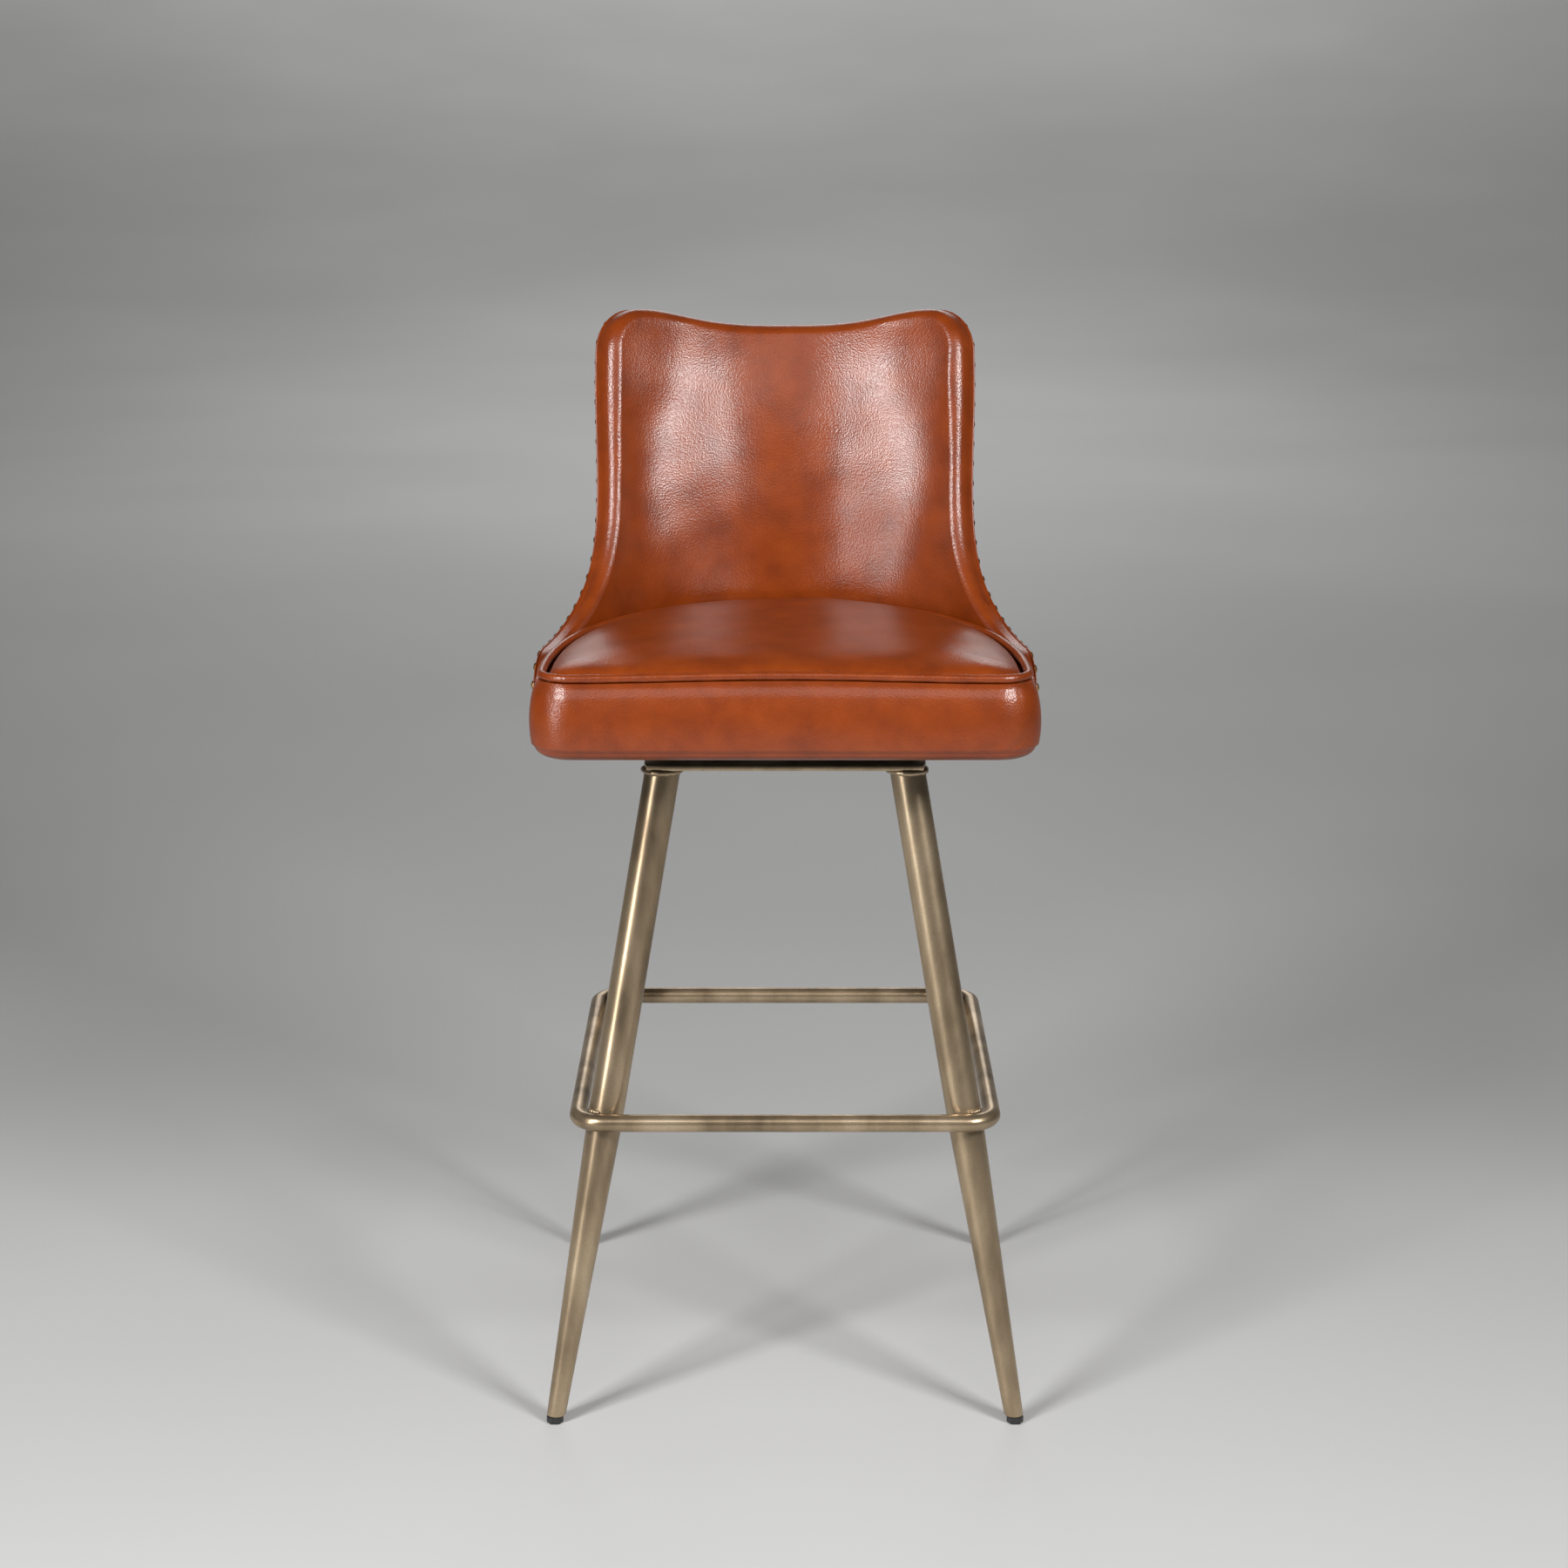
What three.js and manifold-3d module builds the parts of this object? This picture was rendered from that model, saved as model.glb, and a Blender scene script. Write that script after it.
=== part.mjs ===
// Swivel bar stool: four splayed tube legs, a square footrest ring, a ball-bearing swivel, a box
// seat with piping, and a wrap-round winged back. Millimetres, +Z up. The front faces -Y, and the
// origin is on the floor under the swivel axis.
import * as THREE from "three";
import { mergeVertices } from "three/addons/utils/BufferGeometryUtils.js";
import Module from "manifold-3d";

const wasm = await Module();
wasm.setup();

const radians = THREE.MathUtils.degToRad;

// ---------------------------------------------------------------- driving sizes

const GAP = 0.3; // between pieces that touch
const LEATHER = 1.3;

// Legs
const FOOT_HALF = 230; // foot centres from the swivel axis, along X and along Y
const LEG_TOP_HALF = 120; // leg centres under the top plate
const LEG_RADIUS = 17.5;
const LEG_TIP_RADIUS = 9.3;
const LEG_WALL = 1.6;
const LEG_END_HEIGHT = 7.6; // cut parallel to the floor
const TAPER_TOP = 296; // the tube is straight above this height
const INSERT_LENGTH = 14;

// Levelling glides
const GLIDE_ACROSS_FLATS = 15;
const GLIDE_HEAD = 6.8;
const GLIDE_STUD_RADIUS = 4;
const GLIDE_STUD = 24;
const GLIDE_CHAMFER = 1;

// Footrest ring
const RING_HEIGHT = 307;
const RING_RADIUS = 8.7; // of its bar

// Top plate
const PLATE_TOP = 652.5;
const PLATE_THICK = 5;
const PLATE_EDGE = 0.8; // past the legs
const PLATE_CORNER = 9;
const HUB_HOLE_RADIUS = 20;

// Swivel
const SWIVEL_HALF = 89;
const SWIVEL_SHEET = 3;
const SWIVEL_CORNER = 12;
const SWIVEL_HOLES_HALF = 75;
const SWIVEL_HEIGHT = 29.5;
const BALL_RADIUS = 4.75;
const BALL_CIRCLE = 61;
const BALL_COUNT = 10;
const BALL_PLAY = 0.55;
const RACE_HALF_WIDTH = 8;
const RACE_SPLIT = 1.1; // from the ball centres to each race
const CAGE_THICK = 0.9;
const CAGE_WIDTH = 12;
const KING_PIN_RADIUS = 6;
const KING_PIN_FLANGE_RADIUS = 13;
const KING_PIN_FLANGE = 2.4;

// Fasteners
const BOLT_RADIUS = 4; // frame bolts
const BOLT_HEAD_ACROSS = 13;
const BOLT_HEAD = 5;
const NUT_HEIGHT = 6.5;
const BOLT_PAST_NUT = 2;
const SCREW_RADIUS = 3; // seat screws and back bolts
const SCREW_HEAD_RADIUS = 6;
const SCREW_HEAD = 2.6;
const SCREW_IN_BOARD = 12;
const THREAD_INSERT_RADIUS = 6;
const HOLE_PLAY = 0.5;

// Seat, seen from above: a shield, straight in front and rounded behind
const SEAT_BOTTOM = PLATE_TOP + SWIVEL_HEIGHT + GAP - LEATHER;
const SEAT_HALF = 235.5;
const SEAT_FRONT = -240;
const SHIELD_WIDEST = -200; // the sides curve in behind this line
const SEAT_REAR = 153;
const SHIELD_POWER = 2.2;
const SEAT_CORNER = 34;
const BOXING_BULGE = 5;
const BULGE_FADE = 75; // the bulge fades from here in front of the wing tips
const BULGE_END = 25;
const BULGE_LOW = 0.4; // share of the bulge above the turned-under round
const BULGE_HIGH = 0.65; // share of the bulge below the piping
const BULGE_SHOULDER = 10; // how far below the piping
const BOXING_ROUND = 9; // where the side turns under
const BOXING_HEM = 24; // turned under the board
const BOXING_TOP = SEAT_BOTTOM + 75;
const PIPING_RADIUS = 4;
const CROWN = 17;
const BOARD_THICK = 15;
const BOARD_INSET = 2.5;
const FOAM_SLACK = 1.8; // beside the foam, inside the boxing
const DUST_COVER = 0.8;

// Back: a shell that wraps the seat and sweeps up from two wing tips to two ears
const REAR_COVER_LIP = 3; // past the front cover's edge
const BACK_BOTTOM = SEAT_BOTTOM + REAR_COVER_LIP;
const SEAT_TO_BACK = 2.8;
const WING_TIP_FRONT = -125;
const WING_TIP_HEIGHT = SEAT_BOTTOM + 76;
const WING_TIP_RADIUS = 49.5;
const WING_TIP_TURN = radians(78);
const SWEEP_PULLS = [[213, 0], [212, 124]]; // behind and above the wing tip's front
const EAR_TOP = SEAT_BOTTOM + 388.3;
const EAR_RADIUS = 40.9;
const EAR_EDGE_DEPTH = 131.6; // y of the side edge where the ear begins
const TOP_DIP = 20.3; // the middle of the top edge below the ears
const TOP_DIP_POWER = 1.48;
const RECLINE_DEG = 10.7;
const RECLINE_EASE = 9;
const RECLINE_START = SEAT_BOTTOM + 87;
const FLARE = 0.2; // widening of the shell's plan with height
const FLARE_START = SEAT_BOTTOM + 119;
const FLARE_EASE = 15;
const BACK_THICK_SEAT = 46;
const BACK_THICK_TOP = 36;
const WING_THICK = 12.5;
const THICKENING_POWER = 2.2;
const PLYWOOD = 6;
const ROLL_WIDTH = 16;
const ROLL_SHARE = 0.57;
const ROLL_PROFILE = [[0, 1], [4, 0.34], [9, 0.1], [ROLL_WIDTH, 0]]; // [inset, share of the fall]
const BACK_BOLT_REACH = 18; // into the seat board
const BACK_BOLT_REAR = 70; // along the shell from its middle
const BACK_BOLT_SIDE = 300;
const BACK_BOLT_SINK = 2.7;
const BACK_BOLT_HEAD_RADIUS = 4.4;

// Facets
const ROUND = 20;
const SMALL_ROUND = 12;
const RACE_ROUND = 30;
const ARC_STEPS = 5;

// ---------------------------------------------------------------- materials

const finish = (color, roughness, metalness) =>
  new THREE.MeshStandardMaterial({ color, roughness, metalness });

const makeBronze = () => finish(0x7d6a4d, 0.42, 0.85);
const makeLeather = () => finish(0x8a3f1a, 0.38, 0);
const makeNylon = () => finish(0x17181a, 0.5, 0);
const makeZinc = () => finish(0xa9abab, 0.35, 1);
const makePlywood = () => finish(0xc19a66, 0.7, 0);
const makeFoam = () => finish(0xe6dfc8, 0.95, 0);
const makeCambric = () => finish(0x1b1a1a, 0.95, 0);

// ---------------------------------------------------------------- solids

const WELD = 1e-3;

function solidOf(geometry) {
  const bare = new THREE.BufferGeometry().setAttribute("position", geometry.getAttribute("position"));
  bare.setIndex(geometry.index);
  const merged = mergeVertices(bare, WELD);
  return new wasm.Manifold(
    new wasm.Mesh({
      numProp: 3,
      vertProperties: merged.attributes.position.array,
      triVerts: new Uint32Array(merged.index.array),
    }),
  );
}

function geometryOf(solid) {
  const { vertProperties, triVerts } = solid.getMesh();
  return new THREE.BufferGeometry()
    .setAttribute("position", new THREE.Float32BufferAttribute(vertProperties, 3))
    .setIndex(new THREE.BufferAttribute(triVerts, 1));
}

const join = (first, ...rest) =>
  geometryOf(rest.reduce((whole, piece) => whole.add(solidOf(piece)), solidOf(first)));

const cut = (first, ...rest) =>
  geometryOf(rest.reduce((whole, piece) => whole.subtract(solidOf(piece)), solidOf(first)));

const common = (first, second) => geometryOf(solidOf(first).intersect(solidOf(second)));

function mesh(name, geometry, material) {
  const made = new THREE.Mesh(geometry, material);
  made.name = name;
  return made;
}

// A body of revolution about Z. The profile is [radius, height] pairs from the axis back to it.
function turned(profile, segments = ROUND) {
  const points = profile.map(([radius, height]) => new THREE.Vector2(radius, height));
  return new THREE.LatheGeometry(points, segments).rotateX(Math.PI / 2);
}

const rod = (radius, low, high, segments = SMALL_ROUND) =>
  turned([[0, low], [radius, low], [radius, high], [0, high]], segments);

// A hexagonal prism on Z.
function hexagon(acrossFlats, low, high) {
  const radius = acrossFlats / 2 / Math.cos(Math.PI / 6);
  return rod(radius, low, high, 6);
}

// A closed body from points and triangles, with its faces turned outwards.
function closedBody(points, triangles) {
  const volume = triangles.reduce((sum, [a, b, c]) => {
    const normal = new THREE.Vector3().crossVectors(points[b], points[c]);
    return sum + points[a].dot(normal);
  }, 0);
  const outward = volume < 0 ? triangles.map(([a, b, c]) => [a, c, b]) : triangles;
  return new THREE.BufferGeometry().setFromPoints(points).setIndex(outward.flat());
}

// Triangles between two loops of equally many points, split along the shorter diagonals so that a
// wall's two faces split alike.
function bridge(points, from, to) {
  return from.flatMap((a, k) => {
    const [b, c, d] = [from[(k + 1) % from.length], to[k], to[(k + 1) % to.length]];
    const crossed = points[b].distanceTo(points[c]) < points[a].distanceTo(points[d]);
    return crossed ? [[a, b, c], [b, d, c]] : [[a, b, d], [a, d, c]];
  });
}

// A body through loops of points: each end closes on its pole, or the last loop meets the first.
function loft(loops, poles) {
  const points = loops.flat();
  const rows = loops.map((loop, i) => loop.map((_, k) => i * loop.length + k));
  const triangles = rows.slice(1).flatMap((row, i) => bridge(points, rows[i], row));
  const [first, last] = [rows[0], rows.at(-1)];
  if (!poles) return closedBody(points, [...triangles, ...bridge(points, last, first)]);
  const [start, end] = [points.length, points.length + 1];
  points.push(...poles);
  first.forEach((a, k) => {
    const next = (k + 1) % first.length;
    triangles.push([a, start, first[next]], [last[next], end, last[k]]);
  });
  return closedBody(points, triangles);
}

// A square with round corners, as a path in the XY plane.
function roundedSquare(half, corner) {
  const path = new THREE.Shape();
  const inner = half - corner;
  const centres = [[inner, inner], [-inner, inner], [-inner, -inner], [inner, -inner]];
  centres.forEach(([x, y], quarter) => {
    const start = (quarter * Math.PI) / 2;
    path.absarc(x, y, corner, start, start + Math.PI / 2, false);
  });
  path.closePath();
  return path;
}

function circlePath(x, y, radius) {
  const path = new THREE.Path();
  path.absarc(x, y, radius, 0, 2 * Math.PI, true);
  return path;
}

// A flat plate cut from a shape, between two heights.
function plate(shape, low, high) {
  const options = { depth: high - low, bevelEnabled: false, curveSegments: ARC_STEPS };
  return new THREE.ExtrudeGeometry(shape, options).translate(0, 0, low);
}

const CORNERS = [[1, -1, "front_right"], [1, 1, "rear_right"], [-1, 1, "rear_left"], [-1, -1, "front_left"]];

// ---------------------------------------------------------------- base: legs and glides

const PLATE_UNDERSIDE = PLATE_TOP - PLATE_THICK;
const LEG_SPREAD = FOOT_HALF - LEG_TOP_HALF;
const legSlope = LEG_SPREAD / PLATE_UNDERSIDE; // sideways travel per height, in X and in Y
const legHalfAt = (height) => LEG_TOP_HALF + legSlope * (PLATE_UNDERSIDE - height);
const legRadiusAt = (height) =>
  LEG_TIP_RADIUS +
  (LEG_RADIUS - LEG_TIP_RADIUS) * Math.min(1, (height - LEG_END_HEIGHT) / (TAPER_TOP - LEG_END_HEIGHT));
const legStretch = Math.hypot(1, legSlope, legSlope); // axis length per height
const legReach = LEG_RADIUS * Math.hypot(1, legSlope); // how far a level cut reaches from its centre

// Tilts a body on Z onto the front right leg's axis, from the foot's centre on the floor.
function ontoLeg(geometry) {
  const axis = new THREE.Vector3(-legSlope, legSlope, 1).normalize();
  const turn = new THREE.Quaternion().setFromUnitVectors(new THREE.Vector3(0, 0, 1), axis);
  return geometry.applyQuaternion(turn).translate(FOOT_HALF, -FOOT_HALF, 0);
}

// The leg's outer or inner surface as a solid bar, longer than the leg at both ends.
function legBar(inset) {
  const taperTop = TAPER_TOP * legStretch;
  const slope = (LEG_RADIUS - LEG_TIP_RADIUS) / (taperTop - LEG_END_HEIGHT * legStretch);
  const past = 20;
  const end = LEG_TIP_RADIUS - slope * (past + LEG_END_HEIGHT * legStretch) - inset;
  const top = PLATE_UNDERSIDE * legStretch + past;
  const radius = LEG_RADIUS - inset;
  return ontoLeg(turned([[0, -past], [end, -past], [radius, taperTop], [radius, top], [0, top]]));
}

function slab(low, high) {
  const side = 4 * FOOT_HALF;
  return new THREE.BoxGeometry(side, side, high - low).translate(0, 0, (high + low) / 2);
}

const legGeometry = common(
  cut(legBar(0), legBar(LEG_WALL)),
  slab(LEG_END_HEIGHT, PLATE_UNDERSIDE - GAP),
);

const insertGeometry = cut(
  common(legBar(LEG_WALL + GAP), slab(LEG_END_HEIGHT, LEG_END_HEIGHT + INSERT_LENGTH)),
  ontoLeg(rod(GLIDE_STUD_RADIUS + GAP, -1, 3 * INSERT_LENGTH)),
);

// A hexagonal foot that stands flat on the floor, on a stud in line with the leg.
function glideGeometry() {
  const headRadius = GLIDE_ACROSS_FLATS / 2 / Math.cos(Math.PI / 6);
  const profile = [
    [0, 0],
    [headRadius - GLIDE_CHAMFER, 0],
    [headRadius, GLIDE_CHAMFER],
    [headRadius, GLIDE_HEAD],
    [0, GLIDE_HEAD],
  ];
  const head = turned(profile, 6);
  const stud = rod(GLIDE_STUD_RADIUS, GLIDE_HEAD / 2, GLIDE_HEAD / 2 + GLIDE_STUD);
  return join(head.translate(FOOT_HALF, -FOOT_HALF, 0), ontoLeg(stud));
}

function addLegs(base, glides) {
  const glide = glideGeometry();
  CORNERS.forEach(([, , corner], quarter) => {
    const place = new THREE.Group();
    place.rotation.z = (quarter * Math.PI) / 2;
    place.add(
      mesh(`leg_${corner}`, legGeometry, makeBronze()),
      mesh(`leg_insert_${corner}`, insertGeometry, makeZinc()),
    );
    base.add(place);
    const foot = new THREE.Group();
    foot.rotation.z = place.rotation.z;
    foot.add(mesh(`glide_${corner}`, glide, makeNylon()));
    glides.add(foot);
  });
}

// ---------------------------------------------------------------- base: footrest ring and top plate

// The bar lies against the outside of the legs, and its corners are bent round them.
const ringCorner = (legRadiusAt(RING_HEIGHT) + GAP + RING_RADIUS) * Math.hypot(1, legSlope * Math.SQRT2);
const ringInner = legHalfAt(RING_HEIGHT);

function ringGeometry() {
  const loops = [];
  for (let quarter = 0; quarter < 4; quarter++) {
    for (let step = 0; step <= ARC_STEPS; step++) {
      const turn = ((quarter + step / ARC_STEPS) * Math.PI) / 2;
      const out = new THREE.Vector3(Math.cos(turn), Math.sin(turn), 0);
      const x = ringInner * (quarter === 0 || quarter === 3 ? 1 : -1);
      const y = ringInner * (quarter < 2 ? 1 : -1);
      const centre = new THREE.Vector3(x, y, RING_HEIGHT).addScaledVector(out, ringCorner);
      loops.push(section(centre, out, RING_RADIUS, SMALL_ROUND));
    }
  }
  return loft(loops);
}

// A round section in the plane of `out` and Z.
function section(centre, out, radius, sides) {
  return Array.from({ length: sides }, (_, k) => {
    const turn = (2 * Math.PI * k) / sides;
    return centre
      .clone()
      .addScaledVector(out, radius * Math.cos(turn))
      .add(new THREE.Vector3(0, 0, radius * Math.sin(turn)));
  });
}

function platePath(half, corner, holes) {
  const shape = roundedSquare(half, corner);
  shape.holes.push(...holes);
  return shape;
}

const cornerHoles = (half, radius) => CORNERS.map(([x, y]) => circlePath(x * half, y * half, radius));

function topPlateGeometry() {
  const half = LEG_TOP_HALF + legReach + PLATE_EDGE;
  const boltHoles = cornerHoles(SWIVEL_HOLES_HALF, BOLT_RADIUS + HOLE_PLAY);
  const holes = [circlePath(0, 0, HUB_HOLE_RADIUS), ...boltHoles];
  return plate(platePath(half, PLATE_CORNER, holes), PLATE_UNDERSIDE, PLATE_TOP);
}

// ---------------------------------------------------------------- swivel

const SWIVEL_LOW = PLATE_TOP + GAP;
const SWIVEL_HIGH = SWIVEL_LOW + SWIVEL_HEIGHT;
const BALL_HEIGHT = (SWIVEL_LOW + SWIVEL_HIGH) / 2;
const raceRadius = BALL_RADIUS + BALL_PLAY;

// A race seen in section: a raised ring with a round groove, on the lower plate.
function raceGeometry(foot) {
  const crest = BALL_HEIGHT - RACE_SPLIT;
  const open = Math.acos(RACE_SPLIT / raceRadius);
  const groove = Array.from({ length: ARC_STEPS + 1 }, (_, k) => {
    const turn = open - (2 * open * k) / ARC_STEPS;
    return [BALL_CIRCLE + raceRadius * Math.sin(turn), BALL_HEIGHT - raceRadius * Math.cos(turn)];
  });
  const [inside, outside] = [BALL_CIRCLE - RACE_HALF_WIDTH, BALL_CIRCLE + RACE_HALF_WIDTH];
  const [low, high] = [[[inside, foot], [outside, foot]], [[outside, crest], ...groove, [inside, crest]]];
  return turned([...low, ...high, low[0]], RACE_ROUND);
}

// The lower plate; the upper one is the same piece turned over about the ball centres.
function swivelPlateGeometry(holeRadius) {
  const pinHole = circlePath(0, 0, KING_PIN_RADIUS + HOLE_PLAY);
  const holes = [pinHole, ...cornerHoles(SWIVEL_HOLES_HALF, holeRadius)];
  const path = platePath(SWIVEL_HALF, SWIVEL_CORNER, holes);
  const sheet = plate(path, SWIVEL_LOW, SWIVEL_LOW + SWIVEL_SHEET);
  return join(sheet, raceGeometry(SWIVEL_LOW + SWIVEL_SHEET / 2));
}

function turnedOver(geometry) {
  return geometry.rotateX(Math.PI).translate(0, 0, 2 * BALL_HEIGHT);
}

function ballCageGeometry() {
  const half = CAGE_WIDTH / 2;
  const [low, high] = [BALL_HEIGHT - CAGE_THICK / 2, BALL_HEIGHT + CAGE_THICK / 2];
  const [inside, outside] = [BALL_CIRCLE - half, BALL_CIRCLE + half];
  const profile = [[inside, low], [outside, low], [outside, high], [inside, high], [inside, low]];
  const ring = turned(profile, RACE_ROUND);
  const balls = Array.from({ length: BALL_COUNT }, (_, k) => {
    const turn = (2 * Math.PI * k) / BALL_COUNT;
    return new THREE.SphereGeometry(BALL_RADIUS, 8, 6)
      .rotateX(Math.PI / 2)
      .translate(BALL_CIRCLE * Math.cos(turn), BALL_CIRCLE * Math.sin(turn), BALL_HEIGHT);
  });
  return join(ring, ...balls);
}

function kingPinGeometry() {
  const [low, high] = [SWIVEL_LOW - GAP, SWIVEL_HIGH + GAP];
  return turned([
    [0, low - KING_PIN_FLANGE],
    [KING_PIN_FLANGE_RADIUS, low - KING_PIN_FLANGE],
    [KING_PIN_FLANGE_RADIUS, low],
    [KING_PIN_RADIUS, low],
    [KING_PIN_RADIUS, high],
    [KING_PIN_FLANGE_RADIUS, high],
    [KING_PIN_FLANGE_RADIUS, high + KING_PIN_FLANGE],
    [0, high + KING_PIN_FLANGE],
  ]);
}

// A hexagon-headed bolt up through the top plate and the lower swivel plate, and its nut.
function addFrameBolts(base) {
  const under = PLATE_UNDERSIDE - GAP;
  const nutFoot = SWIVEL_LOW + SWIVEL_SHEET + GAP;
  const end = nutFoot + NUT_HEIGHT + BOLT_PAST_NUT;
  const head = hexagon(BOLT_HEAD_ACROSS, under - BOLT_HEAD, under);
  const bolt = join(head, rod(BOLT_RADIUS, under - BOLT_HEAD / 2, end));
  const nut = cut(
    hexagon(BOLT_HEAD_ACROSS, nutFoot, nutFoot + NUT_HEIGHT),
    rod(BOLT_RADIUS + GAP, nutFoot - 1, nutFoot + NUT_HEIGHT + 1),
  );
  for (const [x, y, corner] of CORNERS) {
    const place = new THREE.Group();
    place.position.set(x * SWIVEL_HOLES_HALF, y * SWIVEL_HOLES_HALF, 0);
    place.add(mesh(`frame_bolt_${corner}`, bolt, makeZinc()), mesh(`frame_nut_${corner}`, nut, makeZinc()));
    base.add(place);
  }
}

// ---------------------------------------------------------------- seat

const BOARD_LOW = SWIVEL_HIGH + GAP;
const BOARD_HIGH = BOARD_LOW + BOARD_THICK;
const REAR_STEPS = 14;
const CORNER_STEPS = 4;
const FRONT_STEPS = 2;

// A point of the shield's curved part, at a turn from 0 behind to a quarter turn at its widest.
function shieldPoint(turn, half, depth) {
  const power = 2 / SHIELD_POWER;
  return [half * Math.sin(turn) ** power, SHIELD_WIDEST + depth * Math.cos(turn) ** power];
}

// The seat's outline as points from the middle of the rear, counter-clockwise seen from above.
function seatOutline() {
  const depth = SEAT_REAR - SHIELD_WIDEST;
  const left = [];
  for (let k = 0; k <= REAR_STEPS; k++) {
    const [x, y] = shieldPoint((k / REAR_STEPS) * (Math.PI / 2), SEAT_HALF, depth);
    left.push([-x, y]);
  }
  for (let k = 1; k <= CORNER_STEPS; k++) {
    const turn = Math.PI + (k / CORNER_STEPS) * (Math.PI / 2);
    const [x, y] = [SEAT_HALF - SEAT_CORNER, SEAT_FRONT + SEAT_CORNER];
    left.push([-x + SEAT_CORNER * Math.cos(turn), y + SEAT_CORNER * Math.sin(turn)]);
  }
  for (let k = 1; k <= FRONT_STEPS; k++) {
    left.push([(k / FRONT_STEPS - 1) * (SEAT_HALF - SEAT_CORNER), SEAT_FRONT]);
  }
  const right = left.slice(1, -1).reverse().map(([x, y]) => [-x, y]);
  return [...left, ...right];
}

const OUTLINE = seatOutline();

// The seat's outward direction at each point of its outline.
const OUTWARD = OUTLINE.map((_, k) => {
  const [ax, ay] = OUTLINE.at(k - 1);
  const [bx, by] = OUTLINE[(k + 1) % OUTLINE.length];
  return new THREE.Vector2(by - ay, ax - bx).normalize();
});

// Where the seat's side is free of the wings its boxing bulges in full.
const bulgeShare = (y) =>
  1 - THREE.MathUtils.smoothstep(y, WING_TIP_FRONT - BULGE_FADE, WING_TIP_FRONT - BULGE_END);

// The outline moved outwards by `out`, with a share of the bulge, at one height.
function seatLoop(out, height, bulge = 0) {
  return OUTLINE.map(([x, y], k) => {
    const move = out + bulge * BOXING_BULGE * bulgeShare(y);
    return new THREE.Vector3(x + OUTWARD[k].x * move, y + OUTWARD[k].y * move, height);
  });
}

// The loop drawn towards the seat's middle, for the gently domed part of its top.
function shrunkLoop(loop, share, height) {
  const middle = new THREE.Vector3(0, (SEAT_FRONT + SEAT_REAR) / 2, 0);
  return loop.map((point) => {
    const moved = point.clone().lerp(middle, 1 - share);
    moved.z = height;
    return moved;
  });
}

// [outwards, height, share of the bulge, way into the leather] up the boxing's outer face. The
// round has one facet point between its ends.
const ROUND_POINT = (1 - Math.SQRT1_2) * BOXING_ROUND;
const boxingProfile = [
  [-BOXING_HEM, SEAT_BOTTOM, 0, 0],
  [-BOXING_ROUND, SEAT_BOTTOM, 0, 0],
  [-ROUND_POINT, SEAT_BOTTOM + ROUND_POINT, BULGE_LOW / 4, Math.PI / 4],
  [0, SEAT_BOTTOM + BOXING_ROUND, BULGE_LOW, Math.PI / 2],
  [0, (SEAT_BOTTOM + BOXING_TOP) / 2, 1, Math.PI / 2],
  [0, BOXING_TOP - BULGE_SHOULDER, BULGE_HIGH, Math.PI / 2],
  [0, BOXING_TOP, 0, Math.PI / 2],
];

function boxingGeometry() {
  const outer = boxingProfile.map(([out, height, bulge]) => seatLoop(out, height, bulge));
  const inner = boxingProfile.map(([out, height, bulge, way]) =>
    seatLoop(out - LEATHER * Math.sin(way), height + LEATHER * Math.cos(way), bulge));
  return loft([...outer, ...inner.reverse()]);
}

// [inset from the outline, share of the crown] over the rim of the domed top.
const domeRim = [[2 * PIPING_RADIUS, 0], ...[[0.4, 0.42], [0.62, 0.62], [0.85, 0.75]].map(
  ([share, rise]) => [share * SEAT_CORNER, rise],
)];
const domeMiddle = [[0.65, 0.92], [0.35, 0.98]];
const DOME_FOOT = BOXING_TOP + PIPING_RADIUS;

function domeLoops(drop) {
  const height = (rise) => DOME_FOOT + rise * CROWN - drop;
  const rim = domeRim.map(([inset, rise]) => seatLoop(-inset - drop, height(rise)));
  const middle = domeMiddle.map(([share, rise]) => shrunkLoop(rim.at(-1), share, height(rise)));
  return [...rim, ...middle];
}

const domePole = (drop) => new THREE.Vector3(0, (SEAT_FRONT + SEAT_REAR) / 2, DOME_FOOT + CROWN - drop);

// The top panel turns down inside the piping and ends level with the boxing.
function topPanelGeometry() {
  const hem = (extra) => seatLoop(-2 * PIPING_RADIUS - extra, BOXING_TOP - PIPING_RADIUS);
  const loops = [...domeLoops(LEATHER).reverse(), hem(LEATHER), hem(0), ...domeLoops(0)];
  return loft(loops, [domePole(LEATHER), domePole(0)]);
}

const PIPING_SIDES = 8;

function pipingGeometry() {
  const inset = PIPING_RADIUS + GAP / 2;
  const loops = seatLoop(-inset, BOXING_TOP + PIPING_RADIUS + GAP).map((centre, k) => {
    const out = new THREE.Vector3(OUTWARD[k].x, OUTWARD[k].y, 0);
    return section(centre, out, PIPING_RADIUS - GAP, PIPING_SIDES);
  });
  return loft(loops);
}

function foamGeometry() {
  const skin = LEATHER + GAP;
  const shoulder = 2 * PIPING_RADIUS + skin;
  const foot = BOARD_HIGH + GAP;
  const sides = boxingProfile
    .filter(([, height]) => height > foot && height < BOXING_TOP)
    .map(([out, height, bulge]) => seatLoop(out - skin - FOAM_SLACK, height, bulge));
  const loops = [
    seatLoop(-skin - FOAM_SLACK, foot),
    ...sides,
    seatLoop(-shoulder, BOXING_TOP - PIPING_RADIUS),
    ...domeLoops(skin),
  ];
  const poles = [domePole(skin).setZ(foot), domePole(skin)];
  return loft(loops, poles);
}

function shapeOf(loop, holes) {
  const shape = new THREE.Shape(loop.map(({ x, y }) => new THREE.Vector2(x, y)));
  shape.holes.push(...holes);
  return shape;
}

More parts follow.
